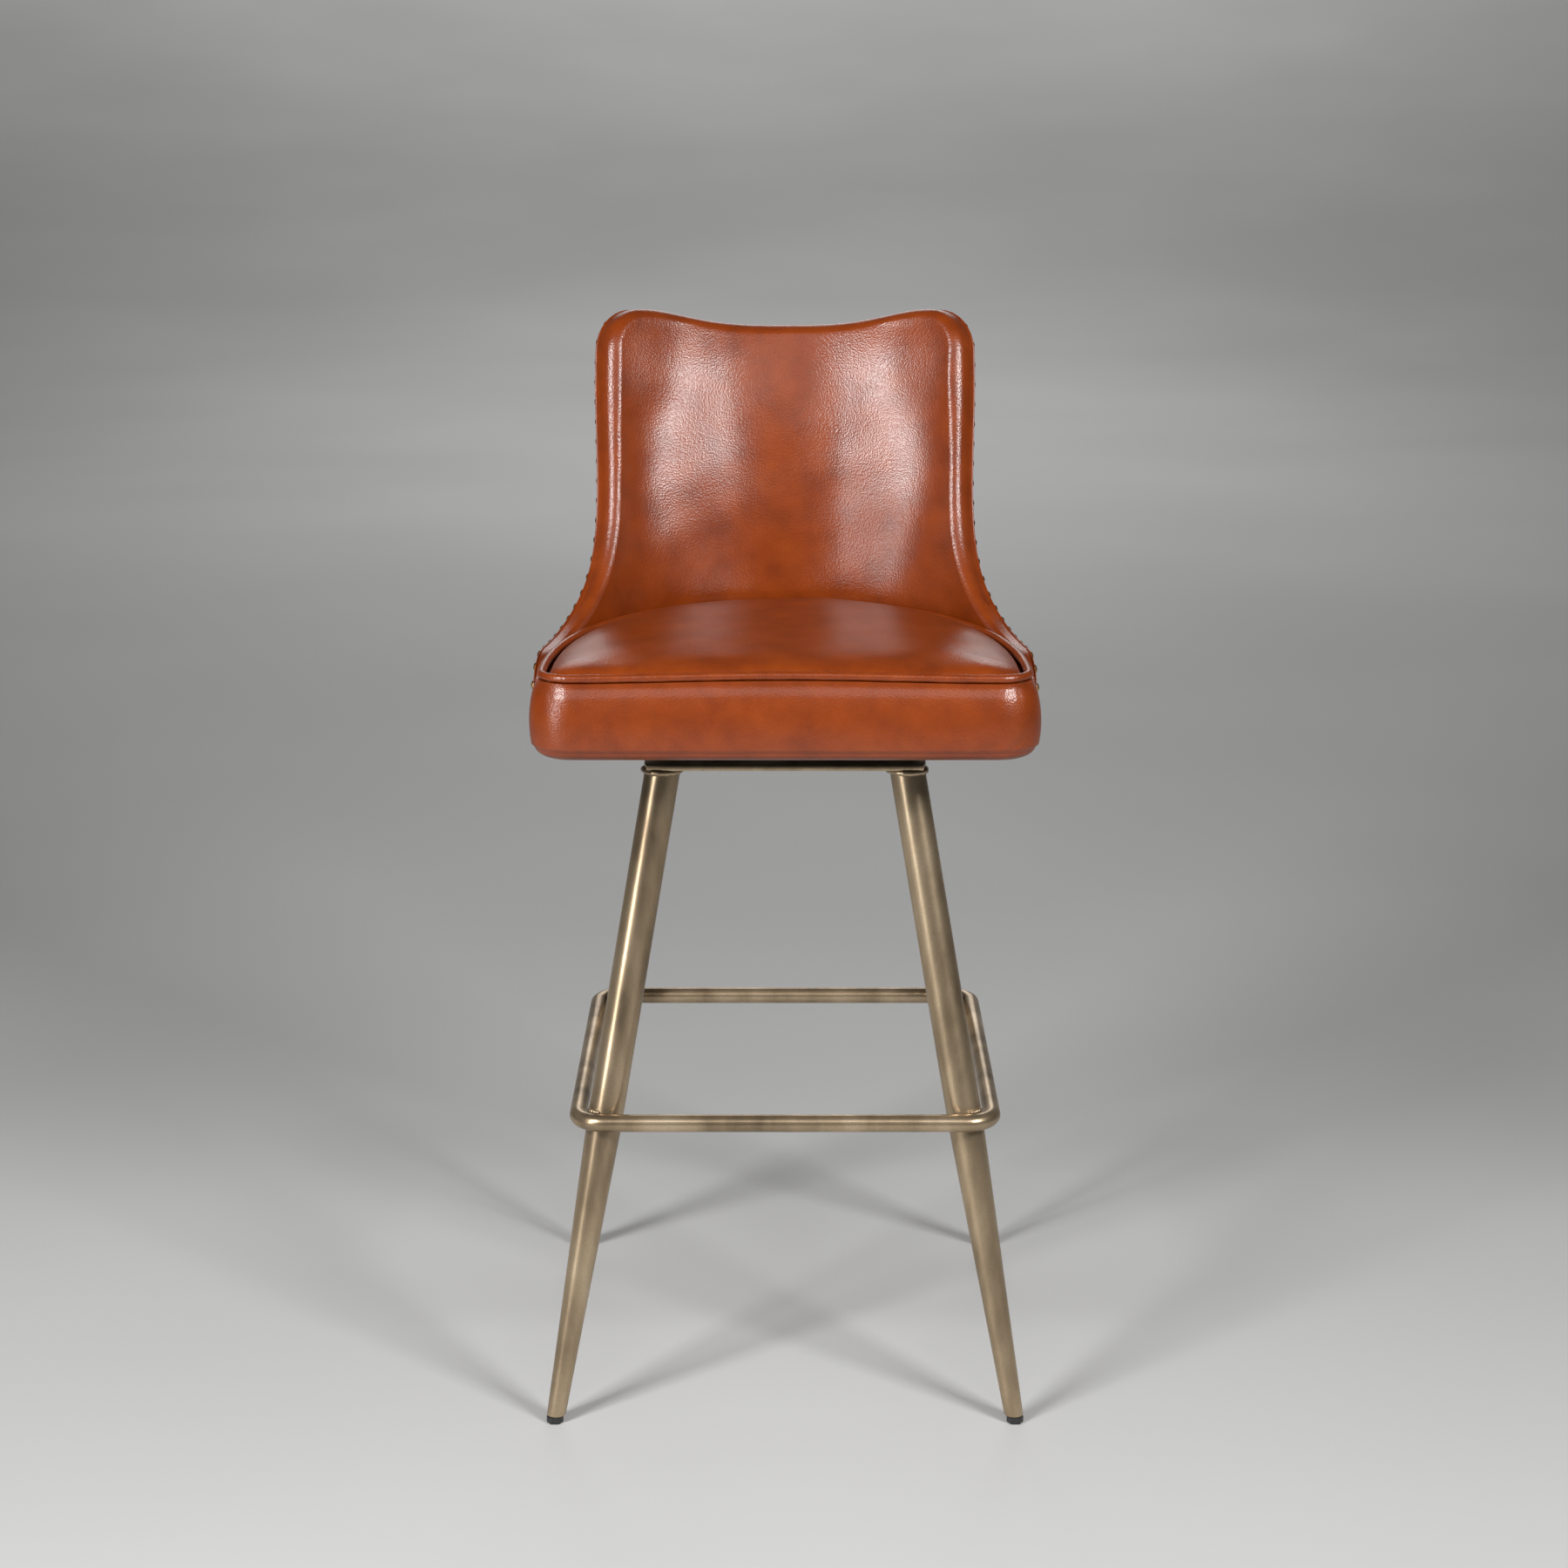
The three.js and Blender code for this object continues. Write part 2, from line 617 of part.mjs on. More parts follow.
// A plywood board whose lower edge is eased where the boxing turns under it.
function boardGeometry() {
  const loops = [
    seatLoop(-BOARD_INSET - BOXING_ROUND, BOARD_LOW),
    seatLoop(-BOARD_INSET, BOARD_LOW + BOXING_ROUND),
    seatLoop(-BOARD_INSET, BOARD_HIGH),
  ];
  const board = loft(loops, [new THREE.Vector3(0, 0, BOARD_LOW), new THREE.Vector3(0, 0, BOARD_HIGH)]);
  const [low, high] = [BOARD_LOW - 1, BOARD_HIGH + 1];
  const hubHole = rod(HUB_HOLE_RADIUS, low, high, ROUND);
  const insertHoles = CORNERS.map(([x, y]) =>
    rod(THREAD_INSERT_RADIUS + GAP, low, high).translate(x * SWIVEL_HOLES_HALF, y * SWIVEL_HOLES_HALF, 0));
  return cut(board, hubHole, ...insertHoles, ...backBolts.map((bolt) => bolt.hole));
}

function dustCoverGeometry() {
  const opening = roundedSquare(SWIVEL_HALF + 2, SWIVEL_CORNER);
  const shape = shapeOf(seatLoop(-BOXING_HEM - 1, 0), [opening]);
  const high = BOARD_LOW - GAP;
  return plate(shape, high - DUST_COVER, high);
}

// Pan-head screws up through the upper swivel plate into threaded inserts in the board.
function addSeatScrews(seat) {
  const under = SWIVEL_HIGH - SWIVEL_SHEET - GAP;
  const head = rod(SCREW_HEAD_RADIUS, under - SCREW_HEAD, under);
  const screw = join(head, rod(SCREW_RADIUS, under - SCREW_HEAD / 2, BOARD_LOW + SCREW_IN_BOARD));
  const insert = cut(
    rod(THREAD_INSERT_RADIUS, BOARD_LOW, BOARD_HIGH - 1),
    rod(SCREW_RADIUS + GAP, BOARD_LOW - 1, BOARD_HIGH),
  );
  for (const [x, y, corner] of CORNERS) {
    const place = new THREE.Group();
    place.position.set(x * SWIVEL_HOLES_HALF, y * SWIVEL_HOLES_HALF, 0);
    place.add(
      mesh(`seat_screw_${corner}`, screw, makeZinc()),
      mesh(`board_insert_${corner}`, insert, makeZinc()),
    );
    seat.add(place);
  }
}

// ---------------------------------------------------------------- back: its surface

// Zero below `start`, then a straight rise, with a soft beginning `ease` wide.
const softRise = (value, start, ease) => ease * Math.log1p(Math.exp((value - start) / ease));

const shellHalf = (height) => SEAT_HALF + SEAT_TO_BACK + FLARE * softRise(height, FLARE_START, FLARE_EASE);
const shellRear = (height) =>
  SEAT_REAR + SEAT_TO_BACK + Math.tan(radians(RECLINE_DEG)) * softRise(height, RECLINE_START, RECLINE_EASE);

const TABLE_STEPS = 120;

// The shell's plan at one height, as [x, y, distance along it] from the middle of the rear.
function planTable(height) {
  const [half, depth] = [shellHalf(height), shellRear(height) - SHIELD_WIDEST];
  const table = [];
  let along = 0;
  for (let k = 0; k <= TABLE_STEPS; k++) {
    const [x, y] = shieldPoint((k / TABLE_STEPS) * (Math.PI / 2), half, depth);
    if (k) along += Math.hypot(x - table[k - 1][0], y - table[k - 1][1]);
    table.push([x, y, along]);
  }
  return table;
}

// The table's row, between two of its entries, where column `column` passes `value`.
function lookUp(table, column, value) {
  const rising = table.at(-1)[column] > table[0][column];
  const k = Math.max(1, table.findIndex((row) => (rising ? row[column] >= value : row[column] <= value)));
  const share = (value - table[k - 1][column]) / (table[k][column] - table[k - 1][column]);
  return table[k].map((end, i) => THREE.MathUtils.lerp(table[k - 1][i], end, share));
}

// The front face of the back, `along` it from the middle (to the right) and at one height.
function facePoint(along, height) {
  const [x, y] = lookUp(planTable(height), 2, Math.abs(along));
  return new THREE.Vector3(Math.sign(along) * x, y, height);
}

// The outward direction there, away from the sitter.
function faceNormal(along, height) {
  const step = 4;
  const across = facePoint(along + step, height).sub(facePoint(along - step, height));
  const up = facePoint(along, height + step).sub(facePoint(along, height - step));
  return up.cross(across).normalize();
}

// The whole back's thickness, which grows from the wing tips to the middle.
function thickness(point) {
  const rear = shellRear(point.z);
  const share = THREE.MathUtils.clamp((point.y - WING_TIP_FRONT) / (rear - WING_TIP_FRONT), 0, 1);
  const high = (point.z - BACK_BOTTOM) / (EAR_TOP - BACK_BOTTOM);
  const middle = THREE.MathUtils.lerp(BACK_THICK_SEAT, BACK_THICK_TOP, high);
  return WING_THICK + (middle - WING_THICK) * share ** THICKENING_POWER;
}

// ---------------------------------------------------------------- back: its outline

const ACROSS = 8; // facets from the middle to the side
const UP = 9;

const alongAtDepth = (y, height) => lookUp(planTable(height), 1, y)[2];

// The right side's edge as [along, height]: the wing tip's front, its round top, the sweep up to
// the ear, and half of the ear.
function sideEdge() {
  const front = alongAtDepth(WING_TIP_FRONT, BACK_BOTTOM);
  const tipLow = WING_TIP_HEIGHT - WING_TIP_RADIUS;
  const points = [[front, BACK_BOTTOM], [front, tipLow]];
  for (let k = 1; k < ARC_STEPS; k++) {
    const turn = (k / ARC_STEPS) * WING_TIP_TURN;
    points.push([
      front - WING_TIP_RADIUS * (1 - Math.cos(turn)),
      tipLow + WING_TIP_RADIUS * Math.sin(turn),
    ]);
  }
  const earLow = EAR_TOP - EAR_RADIUS;
  const pulls = SWEEP_PULLS.map(([y, up]) => new THREE.Vector2(WING_TIP_FRONT + y, WING_TIP_HEIGHT + up));
  const sweep = new THREE.CubicBezierCurve(
    new THREE.Vector2(WING_TIP_FRONT + WING_TIP_RADIUS, WING_TIP_HEIGHT),
    ...pulls,
    new THREE.Vector2(EAR_EDGE_DEPTH, earLow),
  );
  for (const { x: y, y: height } of sweep.getPoints(40)) points.push([alongAtDepth(y, height), height]);
  const earSide = points.at(-1)[0];
  for (let k = 1; k <= ARC_STEPS; k++) {
    const turn = (k / ARC_STEPS) * (Math.PI / 4);
    points.push([earSide - EAR_RADIUS * (1 - Math.cos(turn)), earLow + EAR_RADIUS * Math.sin(turn)]);
  }
  return points;
}

// The top edge's height: round over the ear, then dipping to the middle.
function topHeight(along, earSide) {
  const peak = earSide - EAR_RADIUS;
  if (along > peak) return EAR_TOP - EAR_RADIUS + Math.sqrt(EAR_RADIUS ** 2 - (along - peak) ** 2);
  const swing = Math.PI * (along / peak) ** TOP_DIP_POWER;
  return EAR_TOP - (TOP_DIP * (1 + Math.cos(swing))) / 2;
}

// Points equally far apart along a polyline.
function spaced(points, count) {
  const curve = new THREE.CurvePath();
  points.slice(1).forEach((point, k) =>
    curve.add(new THREE.LineCurve(new THREE.Vector2(...points[k]), new THREE.Vector2(...point))));
  return Array.from({ length: count + 1 }, (_, k) => curve.getPoint(k / count));
}

// The whole outline, counter-clockwise seen from the front: bottom, right, top, left.
function backOutline() {
  const right = spaced(sideEdge(), UP);
  const ear = right.at(-1);
  const earSide = ear.x + EAR_RADIUS * (1 - Math.cos(Math.PI / 4));
  const front = right[0].x;
  const bottom = [];
  const top = [];
  for (let k = -ACROSS; k < ACROSS; k++) {
    bottom.push(new THREE.Vector2((k / ACROSS) * front, BACK_BOTTOM));
    const along = (-k / ACROSS) * ear.x;
    top.push(new THREE.Vector2(along, topHeight(Math.abs(along), earSide)));
  }
  const left = right.map(({ x, y }) => new THREE.Vector2(-x, y)).reverse();
  return [...bottom, ...right.slice(0, -1), ...top, ...left.slice(0, -1)];
}

const BACK_OUTLINE = backOutline();

// The way in from each point of the outline, lengthened at a corner so that both sides move alike.
const INWARD = BACK_OUTLINE.map((here, k) => {
  const before = here.clone().sub(BACK_OUTLINE.at(k - 1)).normalize();
  const after = BACK_OUTLINE[(k + 1) % BACK_OUTLINE.length].clone().sub(here).normalize();
  const mean = before.clone().add(after).normalize();
  return new THREE.Vector2(-mean.y, mean.x).divideScalar(mean.dot(after));
});

const outlineAt = (inset) => BACK_OUTLINE.map((point, k) => point.clone().addScaledVector(INWARD[k], inset));

// ---------------------------------------------------------------- back: its layers

const COLUMNS = 2 * ACROSS;

// The inner patch's points in [along, height], spread between the four sides of its outline.
function patchPoints() {
  const rim = outlineAt(ROLL_WIDTH);
  const bottom = (i) => rim[i];
  const right = (j) => rim[COLUMNS + j];
  const top = (i) => rim[COLUMNS + UP + (COLUMNS - i)];
  const left = (j) => rim[(2 * COLUMNS + UP + (UP - j)) % rim.length];
  const rows = [];
  for (let j = 0; j <= UP; j++) {
    for (let i = 0; i <= COLUMNS; i++) {
      const [u, v] = [i / COLUMNS, j / UP];
      const between = (a, b, share) => a.clone().lerp(b, share);
      const upright = between(bottom(i), top(i), v);
      const level = between(left(j), right(j), u);
      const corners = between(between(bottom(0), bottom(COLUMNS), u), between(top(0), top(COLUMNS), u), v);
      rows.push(upright.add(level).sub(corners));
    }
  }
  return rows;
}

const PATCH = patchPoints();

// Where the patch's own rim lies in its points, in the outline's order.
const PATCH_RIM = [
  ...Array.from({ length: COLUMNS }, (_, i) => i),
  ...Array.from({ length: UP }, (_, j) => j * (COLUMNS + 1) + COLUMNS),
  ...Array.from({ length: COLUMNS }, (_, i) => UP * (COLUMNS + 1) + COLUMNS - i),
  ...Array.from({ length: UP }, (_, j) => (UP - j) * (COLUMNS + 1)),
];

// How far the rolled edge falls back at a distance in from the outline.
function rollDepth(inset, thick) {
  const [, share] = lookUp(ROLL_PROFILE, 0, THREE.MathUtils.clamp(inset, 0, ROLL_WIDTH));
  return ROLL_SHARE * (thick - LEATHER - PLYWOOD) * share;
}

const fromFront = (depth) => (inset, thick) => rollDepth(inset, thick) + depth;
const fromRear = (depth) => (inset, thick) => thick - depth;

function placed({ x: along, y: height }, inset, depthAt) {
  const face = facePoint(along, height);
  return face.clone().addScaledVector(faceNormal(along, height), depthAt(inset, thickness(face)));
}

// A closed layer of the back: a front patch, loops round its edge given as [inset, depth], and a
// rear patch. The first and last loops are the patches' own rims.
function layer(frontDepth, loops, rearDepth) {
  const points = [];
  const triangles = [];
  const addPatch = (depthAt) => {
    const start = points.length;
    points.push(...PATCH.map((point) => placed(point, ROLL_WIDTH, depthAt)));
    for (let j = 0; j < UP; j++) {
      for (let i = 0; i < COLUMNS; i++) {
        const a = start + j * (COLUMNS + 1) + i;
        const [b, c, d] = [a + 1, a + COLUMNS + 1, a + COLUMNS + 2];
        triangles.push([a, b, d], [a, d, c]);
      }
    }
    return PATCH_RIM.map((k) => start + k);
  };
  let rim = addPatch(frontDepth);
  triangles.forEach((triangle) => triangle.reverse());
  for (const [inset, depthAt] of loops) {
    const start = points.length;
    points.push(...outlineAt(inset).map((point) => placed(point, inset, depthAt)));
    const loop = BACK_OUTLINE.map((_, k) => start + k);
    triangles.push(...bridge(points, rim, loop));
    rim = loop;
  }
  const rearRim = addPatch(rearDepth);
  return closedBody(points, [...triangles, ...bridge(points, rim, rearRim)]);
}

const COVER_DEPTH = LEATHER + GAP; // one cover with its gap
const ROLL_INSETS = ROLL_PROFILE.slice(1, -1).map(([inset]) => inset).reverse();

function frontCoverGeometry() {
  const outer = fromFront(0);
  const inner = fromFront(LEATHER);
  const shell = fromRear(COVER_DEPTH + PLYWOOD);
  const rim = fromRear(COVER_DEPTH);
  return layer(
    outer,
    [
      ...ROLL_INSETS.map((inset) => [inset, outer]),
      [0, outer],
      [0, shell],
      [0, rim],
      [LEATHER, rim],
      [LEATHER, shell],
      [LEATHER, inner],
      ...[...ROLL_INSETS].reverse().map((inset) => [inset, inner]),
    ],
    inner,
  );
}

function backFoamGeometry() {
  const front = fromFront(COVER_DEPTH);
  const rear = fromRear(COVER_DEPTH + PLYWOOD + GAP);
  const roll = ROLL_INSETS.map((inset) => [inset, front]);
  return layer(front, [...roll, [COVER_DEPTH, front], [COVER_DEPTH, rear]], rear);
}

function plywoodGeometry() {
  const [front, rear] = [fromRear(COVER_DEPTH + PLYWOOD), fromRear(COVER_DEPTH)];
  return layer(front, [[COVER_DEPTH, front], [COVER_DEPTH, rear]], rear);
}

function rearCoverGeometry() {
  const [front, rear] = [fromRear(LEATHER), fromRear(0)];
  return layer(front, [[COVER_DEPTH, front], [-REAR_COVER_LIP, front], [-REAR_COVER_LIP, rear]], rear);
}

// ---------------------------------------------------------------- back: bolts into the seat board

// A bolt whose head is sunk in the plywood, square to the shell, and the holes that it needs.
function backBolt(along) {
  const height = (BOARD_LOW + BOARD_HIGH) / 2;
  const face = facePoint(along, height);
  const out = faceNormal(along, height).setZ(0).normalize();
  const headTop = thickness(face) - COVER_DEPTH - BACK_BOLT_SINK;
  const reach = -(SEAT_TO_BACK + BOARD_INSET + BACK_BOLT_REACH);
  const turn = new THREE.Quaternion().setFromUnitVectors(new THREE.Vector3(0, 0, 1), out);
  const place = (geometry) => geometry.applyQuaternion(turn).translate(face.x, face.y, face.z);
  return {
    bolt: place(
      join(
        rod(BACK_BOLT_HEAD_RADIUS, headTop - SCREW_HEAD, headTop),
        rod(SCREW_RADIUS, reach, headTop - SCREW_HEAD / 2),
      ),
    ),
    hole: place(rod(SCREW_RADIUS + GAP, reach - GAP, headTop + 4)),
    sink: place(rod(BACK_BOLT_HEAD_RADIUS + GAP, headTop - SCREW_HEAD - GAP, headTop + 4)),
  };
}

const backBolts = [-BACK_BOLT_SIDE, -BACK_BOLT_REAR, BACK_BOLT_REAR, BACK_BOLT_SIDE].map(backBolt);
const BACK_BOLT_NAMES = ["side_left", "rear_left", "rear_right", "side_right"];

function addBack(seat) {
  const holes = backBolts.map(({ hole }) => hole);
  const sinks = backBolts.map(({ sink }) => sink);
  seat.add(
    mesh("back_cover_front", cut(frontCoverGeometry(), ...holes), makeLeather()),
    mesh("back_foam", cut(backFoamGeometry(), ...holes), makeFoam()),
    mesh("back_shell", cut(plywoodGeometry(), ...holes, ...sinks), makePlywood()),
    mesh("back_cover_rear", rearCoverGeometry(), makeLeather()),
  );
  backBolts.forEach(({ bolt }, k) => seat.add(mesh(`back_bolt_${BACK_BOLT_NAMES[k]}`, bolt, makeZinc())));
}

// ---------------------------------------------------------------- assembly

function buildBase() {
  const base = new THREE.Group();
  const glides = new THREE.Group();
  addLegs(base, glides);
  base.add(
    mesh("footrest_ring", ringGeometry(), makeBronze()),
    mesh("top_plate", topPlateGeometry(), makeBronze()),
    mesh("swivel_lower_plate", swivelPlateGeometry(BOLT_RADIUS + HOLE_PLAY), makeZinc()),
    mesh("swivel_king_pin", kingPinGeometry(), makeZinc()),
    mesh("swivel_ball_cage", ballCageGeometry(), makeZinc()),
  );
  addFrameBolts(base);
  base.add(glides);
  return base;
}

function buildSeat() {
  const seat = new THREE.Group();
  const boltHoles = backBolts.map(({ hole }) => hole);
  seat.add(
    mesh("swivel_upper_plate", turnedOver(swivelPlateGeometry(SCREW_RADIUS + HOLE_PLAY)), makeZinc()),
    mesh("seat_board", boardGeometry(), makePlywood()),
    mesh("seat_foam", foamGeometry(), makeFoam()),
    mesh("seat_boxing", cut(boxingGeometry(), ...boltHoles), makeLeather()),
    mesh("seat_top_panel", topPanelGeometry(), makeLeather()),
    mesh("seat_piping", pipingGeometry(), makeLeather()),
    mesh("seat_dust_cover", dustCoverGeometry(), makeCambric()),
  );
  addSeatScrews(seat);
  addBack(seat);
  return seat;
}

const stool = new THREE.Group();
stool.add(buildBase(), buildSeat());

export default stool;
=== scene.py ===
"""Looks of a swivel bar stool: leather upholstery, brass nailheads, bronze metal, a plain studio.

Metres, +Z up. The stool's front faces -Y and the origin is on the floor under the swivel axis.
"""

import logging
import math
from collections.abc import Callable
from dataclasses import dataclass, field
from enum import Enum

import bmesh
import bpy
import numpy as np
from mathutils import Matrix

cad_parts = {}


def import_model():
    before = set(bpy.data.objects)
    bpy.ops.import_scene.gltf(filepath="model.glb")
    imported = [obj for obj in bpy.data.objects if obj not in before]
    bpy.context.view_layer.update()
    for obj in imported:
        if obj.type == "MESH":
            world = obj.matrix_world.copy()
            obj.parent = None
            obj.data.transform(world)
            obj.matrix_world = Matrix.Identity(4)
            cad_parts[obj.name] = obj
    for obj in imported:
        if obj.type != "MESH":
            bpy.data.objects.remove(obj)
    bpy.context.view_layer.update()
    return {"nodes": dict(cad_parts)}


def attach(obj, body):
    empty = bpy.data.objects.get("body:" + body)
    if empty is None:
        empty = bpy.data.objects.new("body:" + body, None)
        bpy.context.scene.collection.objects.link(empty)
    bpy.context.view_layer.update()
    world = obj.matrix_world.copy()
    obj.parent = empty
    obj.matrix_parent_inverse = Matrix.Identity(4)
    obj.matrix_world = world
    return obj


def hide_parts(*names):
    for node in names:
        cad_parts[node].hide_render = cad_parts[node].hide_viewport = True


LOG = logging.getLogger("bar_stool")
DepthRule = Callable[[np.ndarray, np.ndarray, float], np.ndarray]
CORNERS = {
    "front_right": (1, -1),
    "rear_right": (1, 1),
    "rear_left": (-1, 1),
    "front_left": (-1, -1),
}


# ------------------------------------------------------------------ surfaces


class SurfaceMaker:
    """Gathers grids and fans of points into one mesh."""

    def __init__(self) -> None:
        """Starts with no points and no faces."""
        self.points: list[np.ndarray] = []
        self.quads: list[np.ndarray] = []
        self.triangles: list[np.ndarray] = []
        self.count = 0

    def add_points(self, points: np.ndarray) -> np.ndarray:
        """Keeps some points.

        Args:
            points: an array whose last axis is x, y, z.

        Returns:
            The points' numbers, in the shape of the array without its last axis.
        """
        flat = points.reshape(-1, 3)
        numbers = np.arange(self.count, self.count + len(flat)).reshape(points.shape[:-1])
        self.points.append(flat)
        self.count += len(flat)
        return numbers

    def add_quads(self, numbers: np.ndarray, wrap_rows: bool = False, wrap_columns: bool = False) -> None:
        """Joins each point of a grid to its neighbours.

        Args:
            numbers: the grid of point numbers.
            wrap_rows: whether the last row meets the first.
            wrap_columns: whether the last column meets the first.
        """
        if wrap_rows:
            numbers = np.concatenate([numbers, numbers[:1]])
        if wrap_columns:
            numbers = np.concatenate([numbers, numbers[:, :1]], axis=1)
        corners = (numbers[:-1, :-1], numbers[:-1, 1:], numbers[1:, 1:], numbers[1:, :-1])
        self.quads.append(np.stack(corners, axis=-1).reshape(-1, 4))

    def add_fan(self, loop: np.ndarray, pole: np.ndarray) -> None:
        """Closes a loop of point numbers on one new point at the pole."""
        tip = np.full(len(loop), int(self.add_points(pole.reshape(1, 3))[0]))
        self.triangles.append(np.stack([loop, np.roll(loop, -1), tip], axis=-1))

    def add_loft(self, rows: np.ndarray, wrap_rows: bool = False, poles: tuple | None = None) -> None:
        """Adds a surface through closed loops, given as rows of points.

        Args:
            rows: the loops, as an array of rows, columns and x, y, z.
            wrap_rows: whether the last loop meets the first, as on a ring.
            poles: the points that close the first and the last loop, if they are closed.
        """
        numbers = self.add_points(rows)
        self.add_quads(numbers, wrap_rows=wrap_rows, wrap_columns=True)
        if poles is not None:
            self.add_fan(numbers[0], np.asarray(poles[0], float))
            self.add_fan(numbers[-1], np.asarray(poles[1], float))

    def piece(self, name: str, sharp_degrees: float = 50.0) -> bpy.types.Object:
        """Makes the object, with its faces outwards.

        Args:
            name: the new object's name.
            sharp_degrees: edges that turn by more than this stay crisp.

        Returns:
            The object, linked to the scene and smooth shaded.
        """
        mesh = bpy.data.meshes.new(name)
        faces = [row for group in (*self.quads, *self.triangles) for row in group.tolist()]
        mesh.from_pydata(np.concatenate(self.points), [], faces)
        work = bmesh.new()
        work.from_mesh(mesh)
        bmesh.ops.remove_doubles(work, verts=work.verts, dist=1e-6)
        bmesh.ops.recalc_face_normals(work, faces=work.faces)
        work.to_mesh(mesh)
        work.free()
        mesh.polygons.foreach_set("use_smooth", np.ones(len(mesh.polygons), bool))
        mesh.set_sharp_from_angle(angle=math.radians(sharp_degrees))
        made = bpy.data.objects.new(name, mesh)
        bpy.context.scene.collection.objects.link(made)
        return made


def around(count: int, start: float = 0.0) -> np.ndarray:
    """Angles of equal steps round a full turn, from start."""
    return start + np.linspace(0, 2 * np.pi, count, endpoint=False)


def smooth_step(value: np.ndarray, low: float, high: float) -> np.ndarray:
    """Zero below low, one above high, and 3t^2 - 2t^3 of the share t between."""
    share = np.clip((value - low) / (high - low), 0, 1)
    return share * share * (3 - 2 * share)


def tube(path: np.ndarray, outward: np.ndarray, radius: np.ndarray | float, sides: int = 20) -> np.ndarray:
    """A round tube along a level closed path.

    Each section is the path's point plus radius times cos(turn) outwards and sin(turn) upwards.

    Args:
        path: the closed path's points.
        outward: the unit level direction out of the path at each point.
        radius: one radius, or one for each point.
        sides: the points of each section.

    Returns:
        Rows of sections, as points.
    """
    turn = around(sides)
    size = np.broadcast_to(np.asarray(radius, float), (len(path),))[:, None, None]
    up = np.array([0.0, 0.0, 1.0])
    return path[:, None] + size * (
        np.cos(turn)[None, :, None] * outward[:, None] + np.sin(turn)[None, :, None] * up
    )


def resampled(path: np.ndarray, count: int, closed: bool = False) -> np.ndarray:
    """Points equally far apart along a path, found by linear steps on its running length.

    Args:
        path: the points, in order.
        count: how many points to give.
        closed: whether the last point joins the first.

    Returns:
        The new points.
    """
    line = np.concatenate([path, path[:1]]) if closed else path
    run = np.concatenate([[0.0], np.cumsum(np.linalg.norm(np.diff(line, axis=0), axis=1))])
    at = np.linspace(0, run[-1], count + 1)[:count] if closed else np.linspace(0, run[-1], count)
    return np.stack([np.interp(at, run, line[:, k]) for k in range(line.shape[1])], axis=-1)


def hide_drift(points: np.ndarray, size: float) -> np.ndarray:
    """How far stretched leather stands off its true shape: a sum of slow waves in x, y and z.

    Args:
        points: where the leather is.
        size: the most that it drifts.

    Returns:
        The distance at each point.
    """
    waves = np.array([[31, 11, 47], [-53, 29, 23], [19, -67, 61], [83, 37, -29], [-41, 71, 97]], float)
    phases = np.array([0.4, 2.1, 3.7, 5.2, 1.3])
    weights = np.array([1.0, 0.8, 0.6, 0.4, 0.35])
    return size * (np.sin(points @ waves.T + phases) @ weights) / weights.sum()


# ------------------------------------------------------------------ finishes


